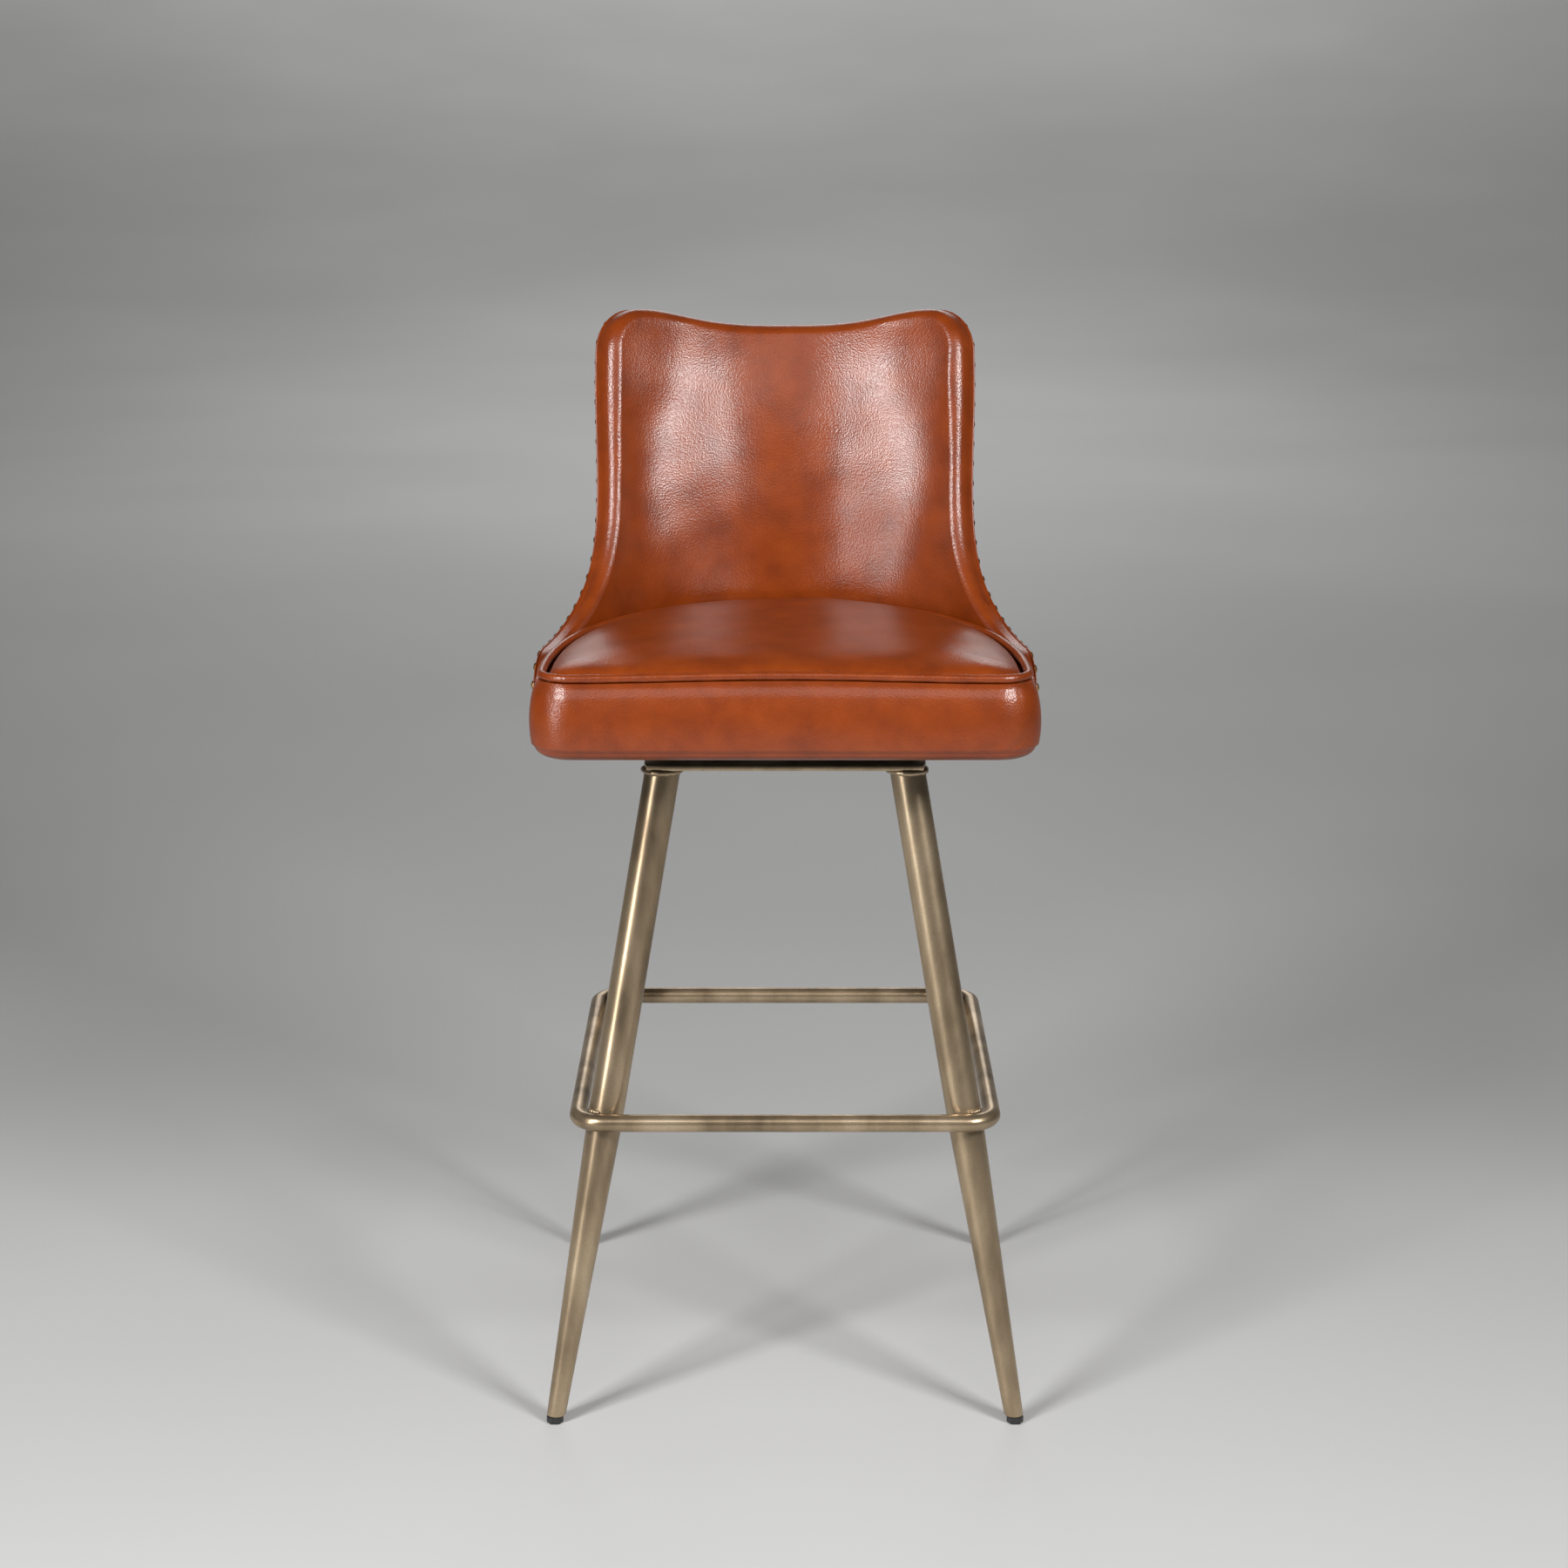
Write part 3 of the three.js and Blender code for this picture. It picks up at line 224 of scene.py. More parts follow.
class Shader:
    """A node material under construction, on Object coordinates."""

    def __init__(self, name: str) -> None:
        """Makes the material with one Principled shader.

        Args:
            name: the material's name.
        """
        self.material = bpy.data.materials.new(name)
        self.material.use_nodes = True
        self.tree = self.material.node_tree
        self.tree.nodes.clear()
        output = self.add("ShaderNodeOutputMaterial")
        self.surface = self.add("ShaderNodeBsdfPrincipled")
        self.link(self.surface, "BSDF", output, "Surface")
        self.place = self.add("ShaderNodeTexCoord")

    def add(self, kind: str, **settings: str) -> bpy.types.Node:
        """Adds a node and sets its properties.

        Args:
            kind: the node's type.
            settings: its properties, by name.

        Returns:
            The node.
        """
        node = self.tree.nodes.new(kind)
        for key, value in settings.items():
            setattr(node, key, value)
        return node

    def link(self, source: bpy.types.Node, out: str, target: bpy.types.Node, into: str | int) -> None:
        """Joins one socket to another."""
        self.tree.links.new(source.outputs[out], target.inputs[into])

    def stretched(self, scale: tuple[float, float, float]) -> bpy.types.Node:
        """Object coordinates scaled along each axis, for a pattern with a direction.

        Args:
            scale: the scale along x, y and z.

        Returns:
            The Mapping node.
        """
        mapping = self.add("ShaderNodeMapping")
        mapping.inputs["Scale"].default_value = scale
        self.link(self.place, "Object", mapping, "Vector")
        return mapping

    def noise(self, scale: float, detail: float = 3.0,
              source: bpy.types.Node | None = None) -> bpy.types.Node:
        """A noise texture on the object's own coordinates, or on a mapping of them.

        Args:
            scale: features to the metre.
            detail: how many finer octaves.
            source: a mapping to read instead of the object.

        Returns:
            The node.
        """
        node = self.add("ShaderNodeTexNoise")
        node.inputs["Scale"].default_value = scale
        node.inputs["Detail"].default_value = detail
        self.link(source or self.place, "Vector" if source else "Object", node, "Vector")
        return node

    def cells(self, scale: float, source: bpy.types.Node | None = None) -> bpy.types.Node:
        """A Voronoi texture of the distance to each cell's middle.

        Args:
            scale: cells to the metre.
            source: a mapping to read instead of the object.

        Returns:
            The node.
        """
        node = self.add("ShaderNodeTexVoronoi")
        node.inputs["Scale"].default_value = scale
        self.link(source or self.place, "Vector" if source else "Object", node, "Vector")
        return node

    def ramp(self, source: bpy.types.Node, out: str, stops: list[tuple[float, tuple]]) -> bpy.types.Node:
        """Colours by a value, between stops of (value, colour).

        Args:
            source: the node that gives the value.
            out: its socket.
            stops: pairs of a value and its colour.

        Returns:
            The node.
        """
        node = self.add("ShaderNodeValToRGB")
        scale = node.color_ramp
        while len(scale.elements) < len(stops):
            scale.elements.new(0.5)
        for element, (at, colour) in zip(scale.elements, stops):
            element.position = at
            element.color = (*colour, 1.0) if len(colour) == 3 else colour
        self.link(source, out, node, "Fac")
        return node

    def ranged(self, source: bpy.types.Node, out: str, low: float, high: float) -> bpy.types.Node:
        """A value from 0 to 1 carried to low to high.

        Args:
            source: the node that gives the value.
            out: its socket.
            low: the result at 0.
            high: the result at 1.

        Returns:
            The node.
        """
        node = self.add("ShaderNodeMapRange")
        node.inputs["To Min"].default_value = low
        node.inputs["To Max"].default_value = high
        self.link(source, out, node, "Value")
        return node

    def bump(self, source: bpy.types.Node, out: str, distance: float, strength: float,
             under: bpy.types.Node | None = None) -> bpy.types.Node:
        """Relief of a height in metres, on top of another relief if one is given.

        Args:
            source: the node that gives the height.
            out: its socket.
            distance: the height of 1, in metres.
            strength: the share of it that shows.
            under: the relief below.

        Returns:
            The node.
        """
        node = self.add("ShaderNodeBump")
        node.inputs["Distance"].default_value = distance
        node.inputs["Strength"].default_value = strength
        self.link(source, out, node, "Height")
        if under is not None:
            self.link(under, "Normal", node, "Normal")
        return node

    def mixed(self, first: bpy.types.Node, second: tuple[float, float, float],
              share: bpy.types.Node, out: str) -> bpy.types.Node:
        """A colour turned towards a second one by a share.

        Args:
            first: the node that gives the first colour.
            second: the second colour.
            share: the node that gives the share.
            out: its socket.

        Returns:
            The node.
        """
        node = self.add("ShaderNodeMix", data_type="RGBA")
        node.inputs[7].default_value = (*second, 1.0)
        self.tree.links.new(share.outputs[out], node.inputs[0])
        self.tree.links.new(first.outputs[0], node.inputs[6])
        return node

    def constants(self, values: dict[str, float]) -> None:
        """Sets values that are the same all over on the Principled shader's own sockets."""
        for socket, value in values.items():
            self.surface.inputs[socket].default_value = value

    def finish(self, colour: bpy.types.Node | None, relief: bpy.types.Node | None,
               roughness: bpy.types.Node | None) -> bpy.types.Material:
        """Joins colour, relief and roughness to the shader and returns the material.

        Args:
            colour: the node that gives the colour.
            relief: the node that gives the relief.
            roughness: the node that gives the roughness.

        Returns:
            The material.
        """
        if colour is not None:
            out = colour.outputs[2] if colour.bl_idname == "ShaderNodeMix" else colour.outputs[0]
            self.tree.links.new(out, self.surface.inputs["Base Color"])
        if relief is not None:
            self.link(relief, "Normal", self.surface, "Normal")
        if roughness is not None:
            self.tree.links.new(roughness.outputs[0], self.surface.inputs["Roughness"])
        return self.material


@dataclass(frozen=True)
class AntiquedLeather:
    """Chestnut leather: mottled dye, pebbled grain, soft wrinkles and a waxed gloss."""

    name: str = "antiqued_leather"
    dark: tuple[float, float, float] = (0.148, 0.0228, 0.0018)
    middle: tuple[float, float, float] = (0.190, 0.0302, 0.0022)
    light: tuple[float, float, float] = (0.224, 0.0380, 0.0028)
    grain_per_metre: float = 560.0
    gloss_low: float = 0.27
    gloss_high: float = 0.33

    def build(self) -> bpy.types.Material:
        """Makes the material.

        Returns:
            The material.
        """
        shader = Shader(self.name)
        clouds = shader.noise(34.0, 7.0)
        dye = shader.ramp(clouds, "Fac", [(0.28, self.dark), (0.50, self.middle), (0.72, self.light)])
        pores = shader.cells(self.grain_per_metre)
        worn = shader.ranged(pores, "Distance", 0.16, 0.0)
        colour = shader.mixed(dye, self.dark, worn, "Result")
        wrinkles = shader.noise(95.0, 4.0, shader.stretched((1.0, 1.0, 0.45)))
        pebbles = shader.bump(pores, "Distance", 0.00030, 0.60)
        relief = shader.bump(wrinkles, "Fac", 0.0006, 0.20, under=pebbles)
        gloss = shader.ranged(shader.noise(22.0, 4.0), "Fac", self.gloss_low, self.gloss_high)
        shader.constants({"Specular IOR Level": 0.56})
        return shader.finish(colour, relief, gloss)


@dataclass(frozen=True)
class BronzeCoat:
    """Antique bronze powder coat: a metal flake coat, faintly speckled and clouded."""

    name: str = "bronze_coat"
    base: tuple[float, float, float] = (0.420, 0.318, 0.205)
    shade: tuple[float, float, float] = (0.180, 0.130, 0.080)
    flake: tuple[float, float, float] = (0.600, 0.480, 0.330)
    roughness: tuple[float, float] = (0.26, 0.36)

    def build(self) -> bpy.types.Material:
        """Makes the material.

        Returns:
            The material.
        """
        shader = Shader(self.name)
        clouds = shader.noise(26.0, 4.0, shader.stretched((1.0, 1.0, 0.3)))
        coat = shader.ramp(clouds, "Fac", [(0.25, self.shade), (0.52, self.base), (0.80, self.flake)])
        specks = shader.noise(1500.0, 2.0)
        share = shader.ramp(specks, "Fac", [(0.52, (0.0, 0.0, 0.0)), (0.72, (0.55, 0.55, 0.55))])
        colour = shader.mixed(coat, self.shade, share, "Color")
        relief = shader.bump(specks, "Fac", 0.00012, 0.22)
        rough = shader.ranged(shader.noise(60.0, 3.0), "Fac", *self.roughness)
        shader.constants({"Metallic": 0.82})
        return shader.finish(colour, relief, rough)


@dataclass(frozen=True)
class MouldedNylon:
    """Black moulded nylon with a slightly matt skin."""

    name: str = "moulded_nylon"

    def build(self) -> bpy.types.Material:
        """Makes the material.

        Returns:
            The material.
        """
        shader = Shader(self.name)
        skin = shader.noise(900.0, 3.0)
        colour = shader.ramp(skin, "Fac", [(0.3, (0.012, 0.012, 0.013)), (0.7, (0.028, 0.027, 0.027))])
        rough = shader.ranged(shader.noise(140.0, 2.0), "Fac", 0.38, 0.56)
        return shader.finish(colour, shader.bump(skin, "Fac", 0.0001, 0.3), rough)


@dataclass(frozen=True)
class AgedBrass:
    """Brass nailheads, browned here and there by a random tarnish."""

    name: str = "aged_brass"

    def build(self) -> bpy.types.Material:
        """Makes the material.

        Returns:
            The material.
        """
        shader = Shader(self.name)
        tarnish = shader.noise(160.0, 3.0)
        colour = shader.ramp(tarnish, "Fac", [(0.32, (0.30, 0.17, 0.05)), (0.60, (0.66, 0.44, 0.16))])
        rough = shader.ranged(tarnish, "Fac", 0.36, 0.20)
        shader.constants({"Metallic": 1.0})
        return shader.finish(colour, shader.bump(tarnish, "Fac", 0.0001, 0.2), rough)


@dataclass(frozen=True)
class ZincPlate:
    """Zinc-plated steel for the swivel and the fasteners."""

    name: str = "zinc_plate"

    def build(self) -> bpy.types.Material:
        """Makes the material.

        Returns:
            The material.
        """
        shader = Shader(self.name)
        spangle = shader.cells(260.0)
        colour = shader.ramp(spangle, "Distance", [(0.0, (0.36, 0.36, 0.35)), (0.8, (0.50, 0.50, 0.49))])
        rough = shader.ranged(shader.noise(70.0, 3.0), "Fac", 0.28, 0.46)
        shader.constants({"Metallic": 1.0})
        return shader.finish(colour, shader.bump(spangle, "Distance", 0.00005, 0.3), rough)


@dataclass(frozen=True)
class RawPlywood:
    """Birch plywood: long grain with faint rings."""

    name: str = "raw_plywood"

    def build(self) -> bpy.types.Material:
        """Makes the material.

        Returns:
            The material.
        """
        shader = Shader(self.name)
        grain = shader.noise(14.0, 6.0, shader.stretched((1.0, 9.0, 60.0)))
        colour = shader.ramp(grain, "Fac", [(0.35, (0.42, 0.26, 0.13)), (0.65, (0.62, 0.43, 0.24))])
        shader.constants({"Roughness": 0.7})
        return shader.finish(colour, shader.bump(grain, "Fac", 0.0003, 0.4), None)


@dataclass(frozen=True)
class BlackCambric:
    """Thin black non-woven cloth under the seat, with its fine crossed weave."""

    name: str = "black_cambric"

    def build(self) -> bpy.types.Material:
        """Makes the material.

        Returns:
            The material.
        """
        shader = Shader(self.name)
        weave = shader.add("ShaderNodeTexWave", bands_direction="X")
        weave.inputs["Scale"].default_value = 320.0
        cross = shader.add("ShaderNodeTexWave", bands_direction="Y")
        cross.inputs["Scale"].default_value = 320.0
        for wave in (weave, cross):
            shader.link(shader.place, "Object", wave, "Vector")
        fuzz = shader.noise(420.0, 3.0)
        colour = shader.ramp(fuzz, "Fac", [(0.3, (0.006, 0.006, 0.006)), (0.7, (0.022, 0.021, 0.020))])
        first = shader.bump(weave, "Fac", 0.0003, 0.5)
        shader.constants({"Roughness": 0.93})
        return shader.finish(colour, shader.bump(cross, "Fac", 0.0003, 0.5, under=first), None)


@dataclass(frozen=True)
class StudioFloor:
    """Pale seamless floor with the faintest unevenness."""

    name: str = "studio_floor"
    dark: tuple[float, float, float] = (0.48, 0.48, 0.475)
    light: tuple[float, float, float] = (0.53, 0.53, 0.525)

    def build(self) -> bpy.types.Material:
        """Makes the material.

        Returns:
            The material.
        """
        shader = Shader(self.name)
        colour = shader.ramp(shader.noise(0.7, 2.0), "Fac", [(0.3, self.dark), (0.7, self.light)])
        shader.constants({"Roughness": 0.62, "Specular IOR Level": 0.25})
        return shader.finish(colour, None, None)


class Finish(Enum):
    """The finishes of the stool, each with the slot of the record that it belongs to."""

    LEATHER = ("leather", AntiquedLeather())
    BRONZE = ("bronze", BronzeCoat())
    NYLON = ("nylon", MouldedNylon())
    BRASS = ("brass", AgedBrass())
    ZINC = ("zinc", ZincPlate())
    PLYWOOD = ("plywood", RawPlywood())
    CAMBRIC = ("cambric", BlackCambric())

    @property
    def slot(self) -> str:
        """The record's material slot."""
        return self.value[0]

    def material(self) -> bpy.types.Material:
        """The finish's material, made when it is first asked for."""
        recipe = self.value[1]
        return bpy.data.materials.get(recipe.name) or recipe.build()


def dress(piece: bpy.types.Object, finish: Finish, body: str, *stands_for: str) -> bpy.types.Object:
    """Gives a piece its finish and its body, and reports it.

    Args:
        piece: the piece.
        finish: its finish.
        body: the CAD body that it rides on.
        stands_for: the CAD nodes that it replaces.

    Returns:
        The same piece.
    """
    piece.data.materials.clear()
    piece.data.materials.append(finish.material())
    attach(piece, body)
    if stands_for:
        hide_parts(*stands_for)
    LOG.info("%s: %d faces, %s, on %s", piece.name, len(piece.data.polygons), finish.slot, body)
    return piece


# ------------------------------------------------------------------ base


@dataclass
class TaperedLegs:
    """Four splayed tapered tubes, cut level at both ends, and the welds under the plate."""

    foot_half: float = 0.230
    top_half: float = 0.120
    radius: float = 0.0175
    tip_radius: float = 0.0093
    wall: float = 0.0016
    end_height: float = 0.0076
    taper_top: float = 0.296
    underside: float = 0.6475
    gap: float = 0.0003
    rim: float = 0.0011
    weld_radius: float = 0.0029
    weld_ripple: float = 0.0008
    sides: int = 56

    @property
    def slope(self) -> float:
        """Sideways travel for each metre up, in x and in y."""
        return (self.foot_half - self.top_half) / self.underside

    def radius_at(self, height: np.ndarray) -> np.ndarray:
        """The tube's radius: straight above the taper, and falling evenly to the tip below it."""
        share = np.clip((height - self.end_height) / (self.taper_top - self.end_height), 0, 1)
        return self.tip_radius + (self.radius - self.tip_radius) * share

    def half_at(self, height: np.ndarray) -> np.ndarray:
        """How far the leg's centre is from the swivel axis, in x and in y."""
        return self.foot_half - self.slope * height

    def level_sections(self, height: np.ndarray, radius: np.ndarray, corner: tuple[int, int]) -> np.ndarray:
        """Level cuts of the leaning tube: circles stretched along the lean by its tilt.

        Args:
            height: the cuts' heights.
            radius: the tube's radius at each.
            corner: the signs of the leg's x and y.

        Returns:
            Rows of points, a row for each cut.
        """
        sign = np.array(corner, float)
        lean = np.array([sign[0], sign[1]]) / math.sqrt(2)
        across = np.array([-lean[1], lean[0]])
        stretch = math.hypot(1, self.slope * math.sqrt(2))
        turn = around(self.sides)
        level = radius[:, None, None] * (
            stretch * np.cos(turn)[None, :, None] * lean + np.sin(turn)[None, :, None] * across
        )
        centre = self.half_at(height)[:, None, None] * sign
        rows = np.broadcast_to(height[:, None, None], (len(height), self.sides, 1))
        return np.concatenate([centre + level, rows], axis=2)

    def build_leg(self, corner: tuple[int, int], name: str) -> bpy.types.Object:
        """One tube with a rounded lower rim, open inside: outer loops down, then inner loops up.

        Args:
            corner: the signs of the leg's x and y.
            name: the piece's name.

        Returns:
            The piece.
        """
        top = self.underside - self.gap
        outer_height = np.concatenate([np.linspace(top, self.taper_top + 0.012, 12),
                                       np.linspace(self.taper_top, self.end_height + self.rim, 16)])
        bend = np.linspace(0, np.pi / 2, 5)[1:]
        rim_height = self.end_height + self.rim * (1 - np.sin(bend))
        inner_height = np.linspace(self.end_height, top, 14)
        height = np.concatenate([outer_height, rim_height, inner_height])
        radius = np.concatenate([
            self.radius_at(outer_height),
            self.tip_radius - self.rim * (1 - np.cos(bend)),
            self.radius_at(inner_height) - self.wall,
        ])
        maker = SurfaceMaker()
        maker.add_loft(self.level_sections(height, radius, corner), wrap_rows=True)
        return maker.piece(name, 40)

    def build_welds(self) -> bpy.types.Object:
        """Beads round the leg tops: tubes whose radius ripples as a weld's ripples do.

        Returns:
            The piece.
        """
        maker = SurfaceMaker()
        for number, corner in enumerate(CORNERS.values()):
            height = np.array([self.underside - 0.0022])
            path = self.level_sections(height, np.array([self.radius + 0.0006]), corner)[0]
            centre = np.append(self.half_at(height)[0] * np.array(corner), height[0])
            outward = path - centre
            outward /= np.linalg.norm(outward, axis=1, keepdims=True)
            turn = around(self.sides)
            ripple = 0.35 * np.sin(17 * turn + number) + 0.2 * np.sin(29 * turn)
            ripple += 0.3 * np.sin(5 * turn + 2.0 * number)
            size = self.weld_radius + self.weld_ripple * ripple
            maker.add_loft(tube(path, outward, size, 10), wrap_rows=True)
        return maker.piece("leg_top_welds", 80)

    def build(self) -> None:
        """Makes and dresses the four legs and their welds."""
        for corner, signs in CORNERS.items():
            leg = self.build_leg(signs, f"leg_tube_{corner}")
            dress(leg, Finish.BRONZE, "base", f"leg_{corner}")
        dress(self.build_welds(), Finish.BRONZE, "base")


@dataclass
class LevellingFeet:
    """Black hexagonal feet that screw into the leg ends."""

    legs: TaperedLegs
    across_flats: float = 0.015
    head: float = 0.0068
    stud_radius: float = 0.004
    stud_end: float = 0.027
    chamfer: float = 0.001

    def hexagon(self, turn: np.ndarray) -> np.ndarray:
        """A rounded hexagon's radius by angle: the flat's distance over the cosine to its middle.

        Args:
            turn: the angles.

        Returns:
            The radius at each.
        """
        sector = np.mod(turn, np.pi / 3) - np.pi / 6
        sharp = self.across_flats / 2 / np.cos(sector)
        return np.minimum(sharp, self.across_flats / 2 * 1.115)

    def build(self) -> None:
        """Makes and dresses the four feet: a hexagonal head, and a stud in line with the leg."""
        turn = around(48)
        outline = self.hexagon(turn)
        sizes = np.array([0.55, 0.90, 0.97, 1.0, 1.0, 0.97, 0.90, 0.62])
        chamfer = self.chamfer
        heights = np.array([0, 0, 0.3 * chamfer, chamfer, self.head - chamfer, self.head - 0.3 * chamfer,
                            self.head, self.head])
        for corner, signs in CORNERS.items():
            centre = self.legs.foot_half * np.array(signs)
            level = sizes[:, None, None] * outline[None, :, None] * np.stack([np.cos(turn), np.sin(turn)], -1)
            head = np.concatenate([centre + level, np.repeat(heights[:, None, None], 48, axis=1)], axis=2)
            up = np.linspace(self.head, self.stud_end, 6)
            stud = self.legs.level_sections(up, np.full(6, self.stud_radius), signs)
            lean = self.legs.slope * self.stud_end
            tip_half = self.legs.foot_half - lean
            tip = [signs[0] * tip_half, signs[1] * tip_half, self.stud_end]
            maker = SurfaceMaker()
            maker.add_loft(head, poles=([*centre, 0.0], [*centre, self.head]))
            maker.add_loft(stud, poles=(stud[0].mean(0), tip))
            foot = maker.piece(f"levelling_foot_{corner}", 40)
            dress(foot, Finish.NYLON, f"glide_{corner}", f"glide_{corner}")


@dataclass
class FootrestRing:
    """A round bar bent into a square round the legs, with its welds."""

    legs: TaperedLegs
    height: float = 0.307
    radius: float = 0.0087
    gap: float = 0.0003
    weld_radius: float = 0.0030
    sides: int = 28

    @property
    def corner(self) -> float:
        """The bend's radius to the bar's middle, which is concentric with the leg."""
        return (self.legs.radius + self.gap + self.radius) * math.hypot(1, self.legs.slope * math.sqrt(2))

    def path(self) -> tuple[np.ndarray, np.ndarray]:
        """The bar's middle line and its outward directions: straights joined by quarter turns.

        Returns:
            The points, and the outward direction at each.
        """
        inner = float(self.legs.half_at(np.array([self.height]))[0])
        turn = (np.arange(4)[:, None] + np.linspace(0, 1, 13)[None]) * np.pi / 2
        signs = np.array([[1, 1], [-1, 1], [-1, -1], [1, -1]], float)
        outward = np.stack([np.cos(turn), np.sin(turn)], axis=-1)
        bends = inner * signs[:, None] + self.corner * outward
        starts, ends = bends[:, -1], np.roll(bends[:, 0], -1, axis=0)
        share = np.linspace(0, 1, 26)[1:-1]
        straights = starts[:, None] + (ends - starts)[:, None] * share[None, :, None]
        along = np.concatenate([bends, straights], axis=1).reshape(-1, 2)
        straight_out = np.repeat(outward[:, -1:], len(share), axis=1)
        away = np.concatenate([outward, straight_out], axis=1).reshape(-1, 2)
        flat = np.zeros((len(along), 1))
        return np.concatenate([along, flat + self.height], axis=1), np.concatenate([away, flat], axis=1)

    def build_bar(self) -> bpy.types.Object:
        """The bar, very slightly thicker where its ends were welded and ground.

        Returns:
            The piece.
        """
        path, outward = self.path()
        joint = np.array([0.006, path[:, 1].min(), self.height])
        swell = np.exp(-((np.linalg.norm(path - joint, axis=1) / 0.006) ** 2))
        maker = SurfaceMaker()
        maker.add_loft(tube(path, outward, self.radius * (1 + 0.02 * swell), self.sides), wrap_rows=True)
        return maker.piece("footrest_bar", 80)

    def build_welds(self) -> bpy.types.Object:
        """Short beads under and over the bar where it touches each leg, thinning at their ends.

        Returns:
            The piece.
        """
        maker = SurfaceMaker()
        share = np.linspace(-1, 1, 25)
        for corner in CORNERS.values():
            for side, reach in ((-1, 0.62), (1, 0.42)):
                height = self.height + side * self.radius * 0.80
                turn = share * reach
                lean = math.atan2(corner[1], corner[0])
                around_leg = np.stack([np.cos(turn + lean), np.sin(turn + lean)], axis=-1)
                centre = float(self.legs.half_at(np.array([height]))[0]) * np.array(corner, float)
                stretch = 1 + (math.hypot(1, self.legs.slope * math.sqrt(2)) - 1) * np.cos(turn)[:, None]
                level = centre + (self.legs.radius + 0.0012) * stretch * around_leg
                path = np.concatenate([level, np.full((len(share), 1), height)], axis=1)
                out = np.concatenate([around_leg, np.zeros((len(share), 1))], axis=1)
                size = self.weld_radius * np.sqrt(1.02 - share**2) * (1 + 0.12 * np.sin(19 * share))
                maker.add_loft(tube(path, out, size, 10), poles=(path[0], path[-1]))
        return maker.piece("footrest_welds", 80)

    def build(self) -> None:
        """Makes and dresses the bar and its welds."""
        dress(self.build_bar(), Finish.BRONZE, "base", "footrest_ring")
        dress(self.build_welds(), Finish.BRONZE, "base")


@dataclass
class TopPlate:
    """The square steel plate over the legs, with eased edges and a hub hole."""

    half: float = 0.13855
    corner: float = 0.009
    low: float = 0.6475
    high: float = 0.6525
    hole: float = 0.020
    ease: float = 0.0009
    sides: int = 96

    def square(self, inset: float) -> np.ndarray:
        """A square with round corners, as points at equal angles from the middle.

        Args:
            inset: how far its sides are moved in.

        Returns:
            The points, as x and y.
        """
        turn = around(self.sides)
        half, corner = self.half - inset, max(self.corner - inset, 0.0005)
        centre = half - corner
        along = np.stack([np.cos(turn), np.sin(turn)], axis=-1)
        flat = half / np.abs(along).max(axis=1)
        offset = np.abs(along).sum(axis=1) * centre
        inside = offset**2 - (2 * centre**2 - corner**2)
        bend = offset + np.sqrt(np.maximum(inside, 0))
        beyond = (np.abs(along) * flat[:, None]).min(axis=1) > centre
        return along * np.where(beyond, bend, flat)[:, None]

    def build(self) -> None:
        """Makes and dresses the plate: loops from the hole over the top, round the edge and back."""
        turn = around(self.sides)
        hole = self.hole * np.stack([np.cos(turn), np.sin(turn)], axis=-1)
        ease = self.ease
        loops = [
            (hole, self.high),
            (self.square(ease), self.high),
            (self.square(0.3 * ease), self.high - 0.3 * ease),
            (self.square(0.0), self.high - ease),
            (self.square(0.0), self.low + ease),
            (self.square(0.3 * ease), self.low + 0.3 * ease),
            (self.square(ease), self.low),
            (hole, self.low),
        ]
        rows = np.stack([np.concatenate([flat, np.full((self.sides, 1), z)], axis=1) for flat, z in loops])
        maker = SurfaceMaker()
        maker.add_loft(rows, wrap_rows=True)
        dress(maker.piece("leg_plate", 35), Finish.BRONZE, "base", "top_plate")


# ------------------------------------------------------------------ seat


@dataclass
class ShieldPlan:
    """The seat's plan: straight in front with round corners, and a superellipse behind."""

    half: float = 0.2355
    front: float = -0.240
    widest: float = -0.200
    rear: float = 0.153
    power: float = 2.2
    corner: float = 0.034
    count: int = 480

    def curve(self, turn: np.ndarray, half: np.ndarray, depth: np.ndarray) -> tuple[np.ndarray, np.ndarray]:
        """x = half sin(turn)^(2/power) and y = widest + depth cos(turn)^(2/power), a quarter of the plan."""
        power = 2 / self.power
        return half * np.sin(turn) ** power, self.widest + depth * np.clip(np.cos(turn), 0, 1) ** power

    def outline(self) -> tuple[np.ndarray, np.ndarray]:
        """The outline from the middle of the rear, counter-clockwise from above.

        Returns:
            The points, equally far apart, and the outward direction at each.
        """
        turn = np.linspace(0, np.pi / 2, 400)
        x, y = self.curve(turn, self.half, self.rear - self.widest)
        side = np.stack([-x, y], axis=-1)
        bend = np.linspace(np.pi, 1.5 * np.pi, 60)
        middle = np.array([-(self.half - self.corner), self.front + self.corner])
        front_corner = middle + self.corner * np.stack([np.cos(bend), np.sin(bend)], axis=-1)
        left = np.concatenate([side, front_corner, [[0.0, self.front]]])
        right = left[::-1] * [-1, 1]
        points = resampled(np.concatenate([left, right[1:-1]]), self.count, closed=True)
        step = np.roll(points, -1, axis=0) - np.roll(points, 1, axis=0)
        outward = np.stack([step[:, 1], -step[:, 0]], axis=-1)
        return points, outward / np.linalg.norm(outward, axis=1, keepdims=True)


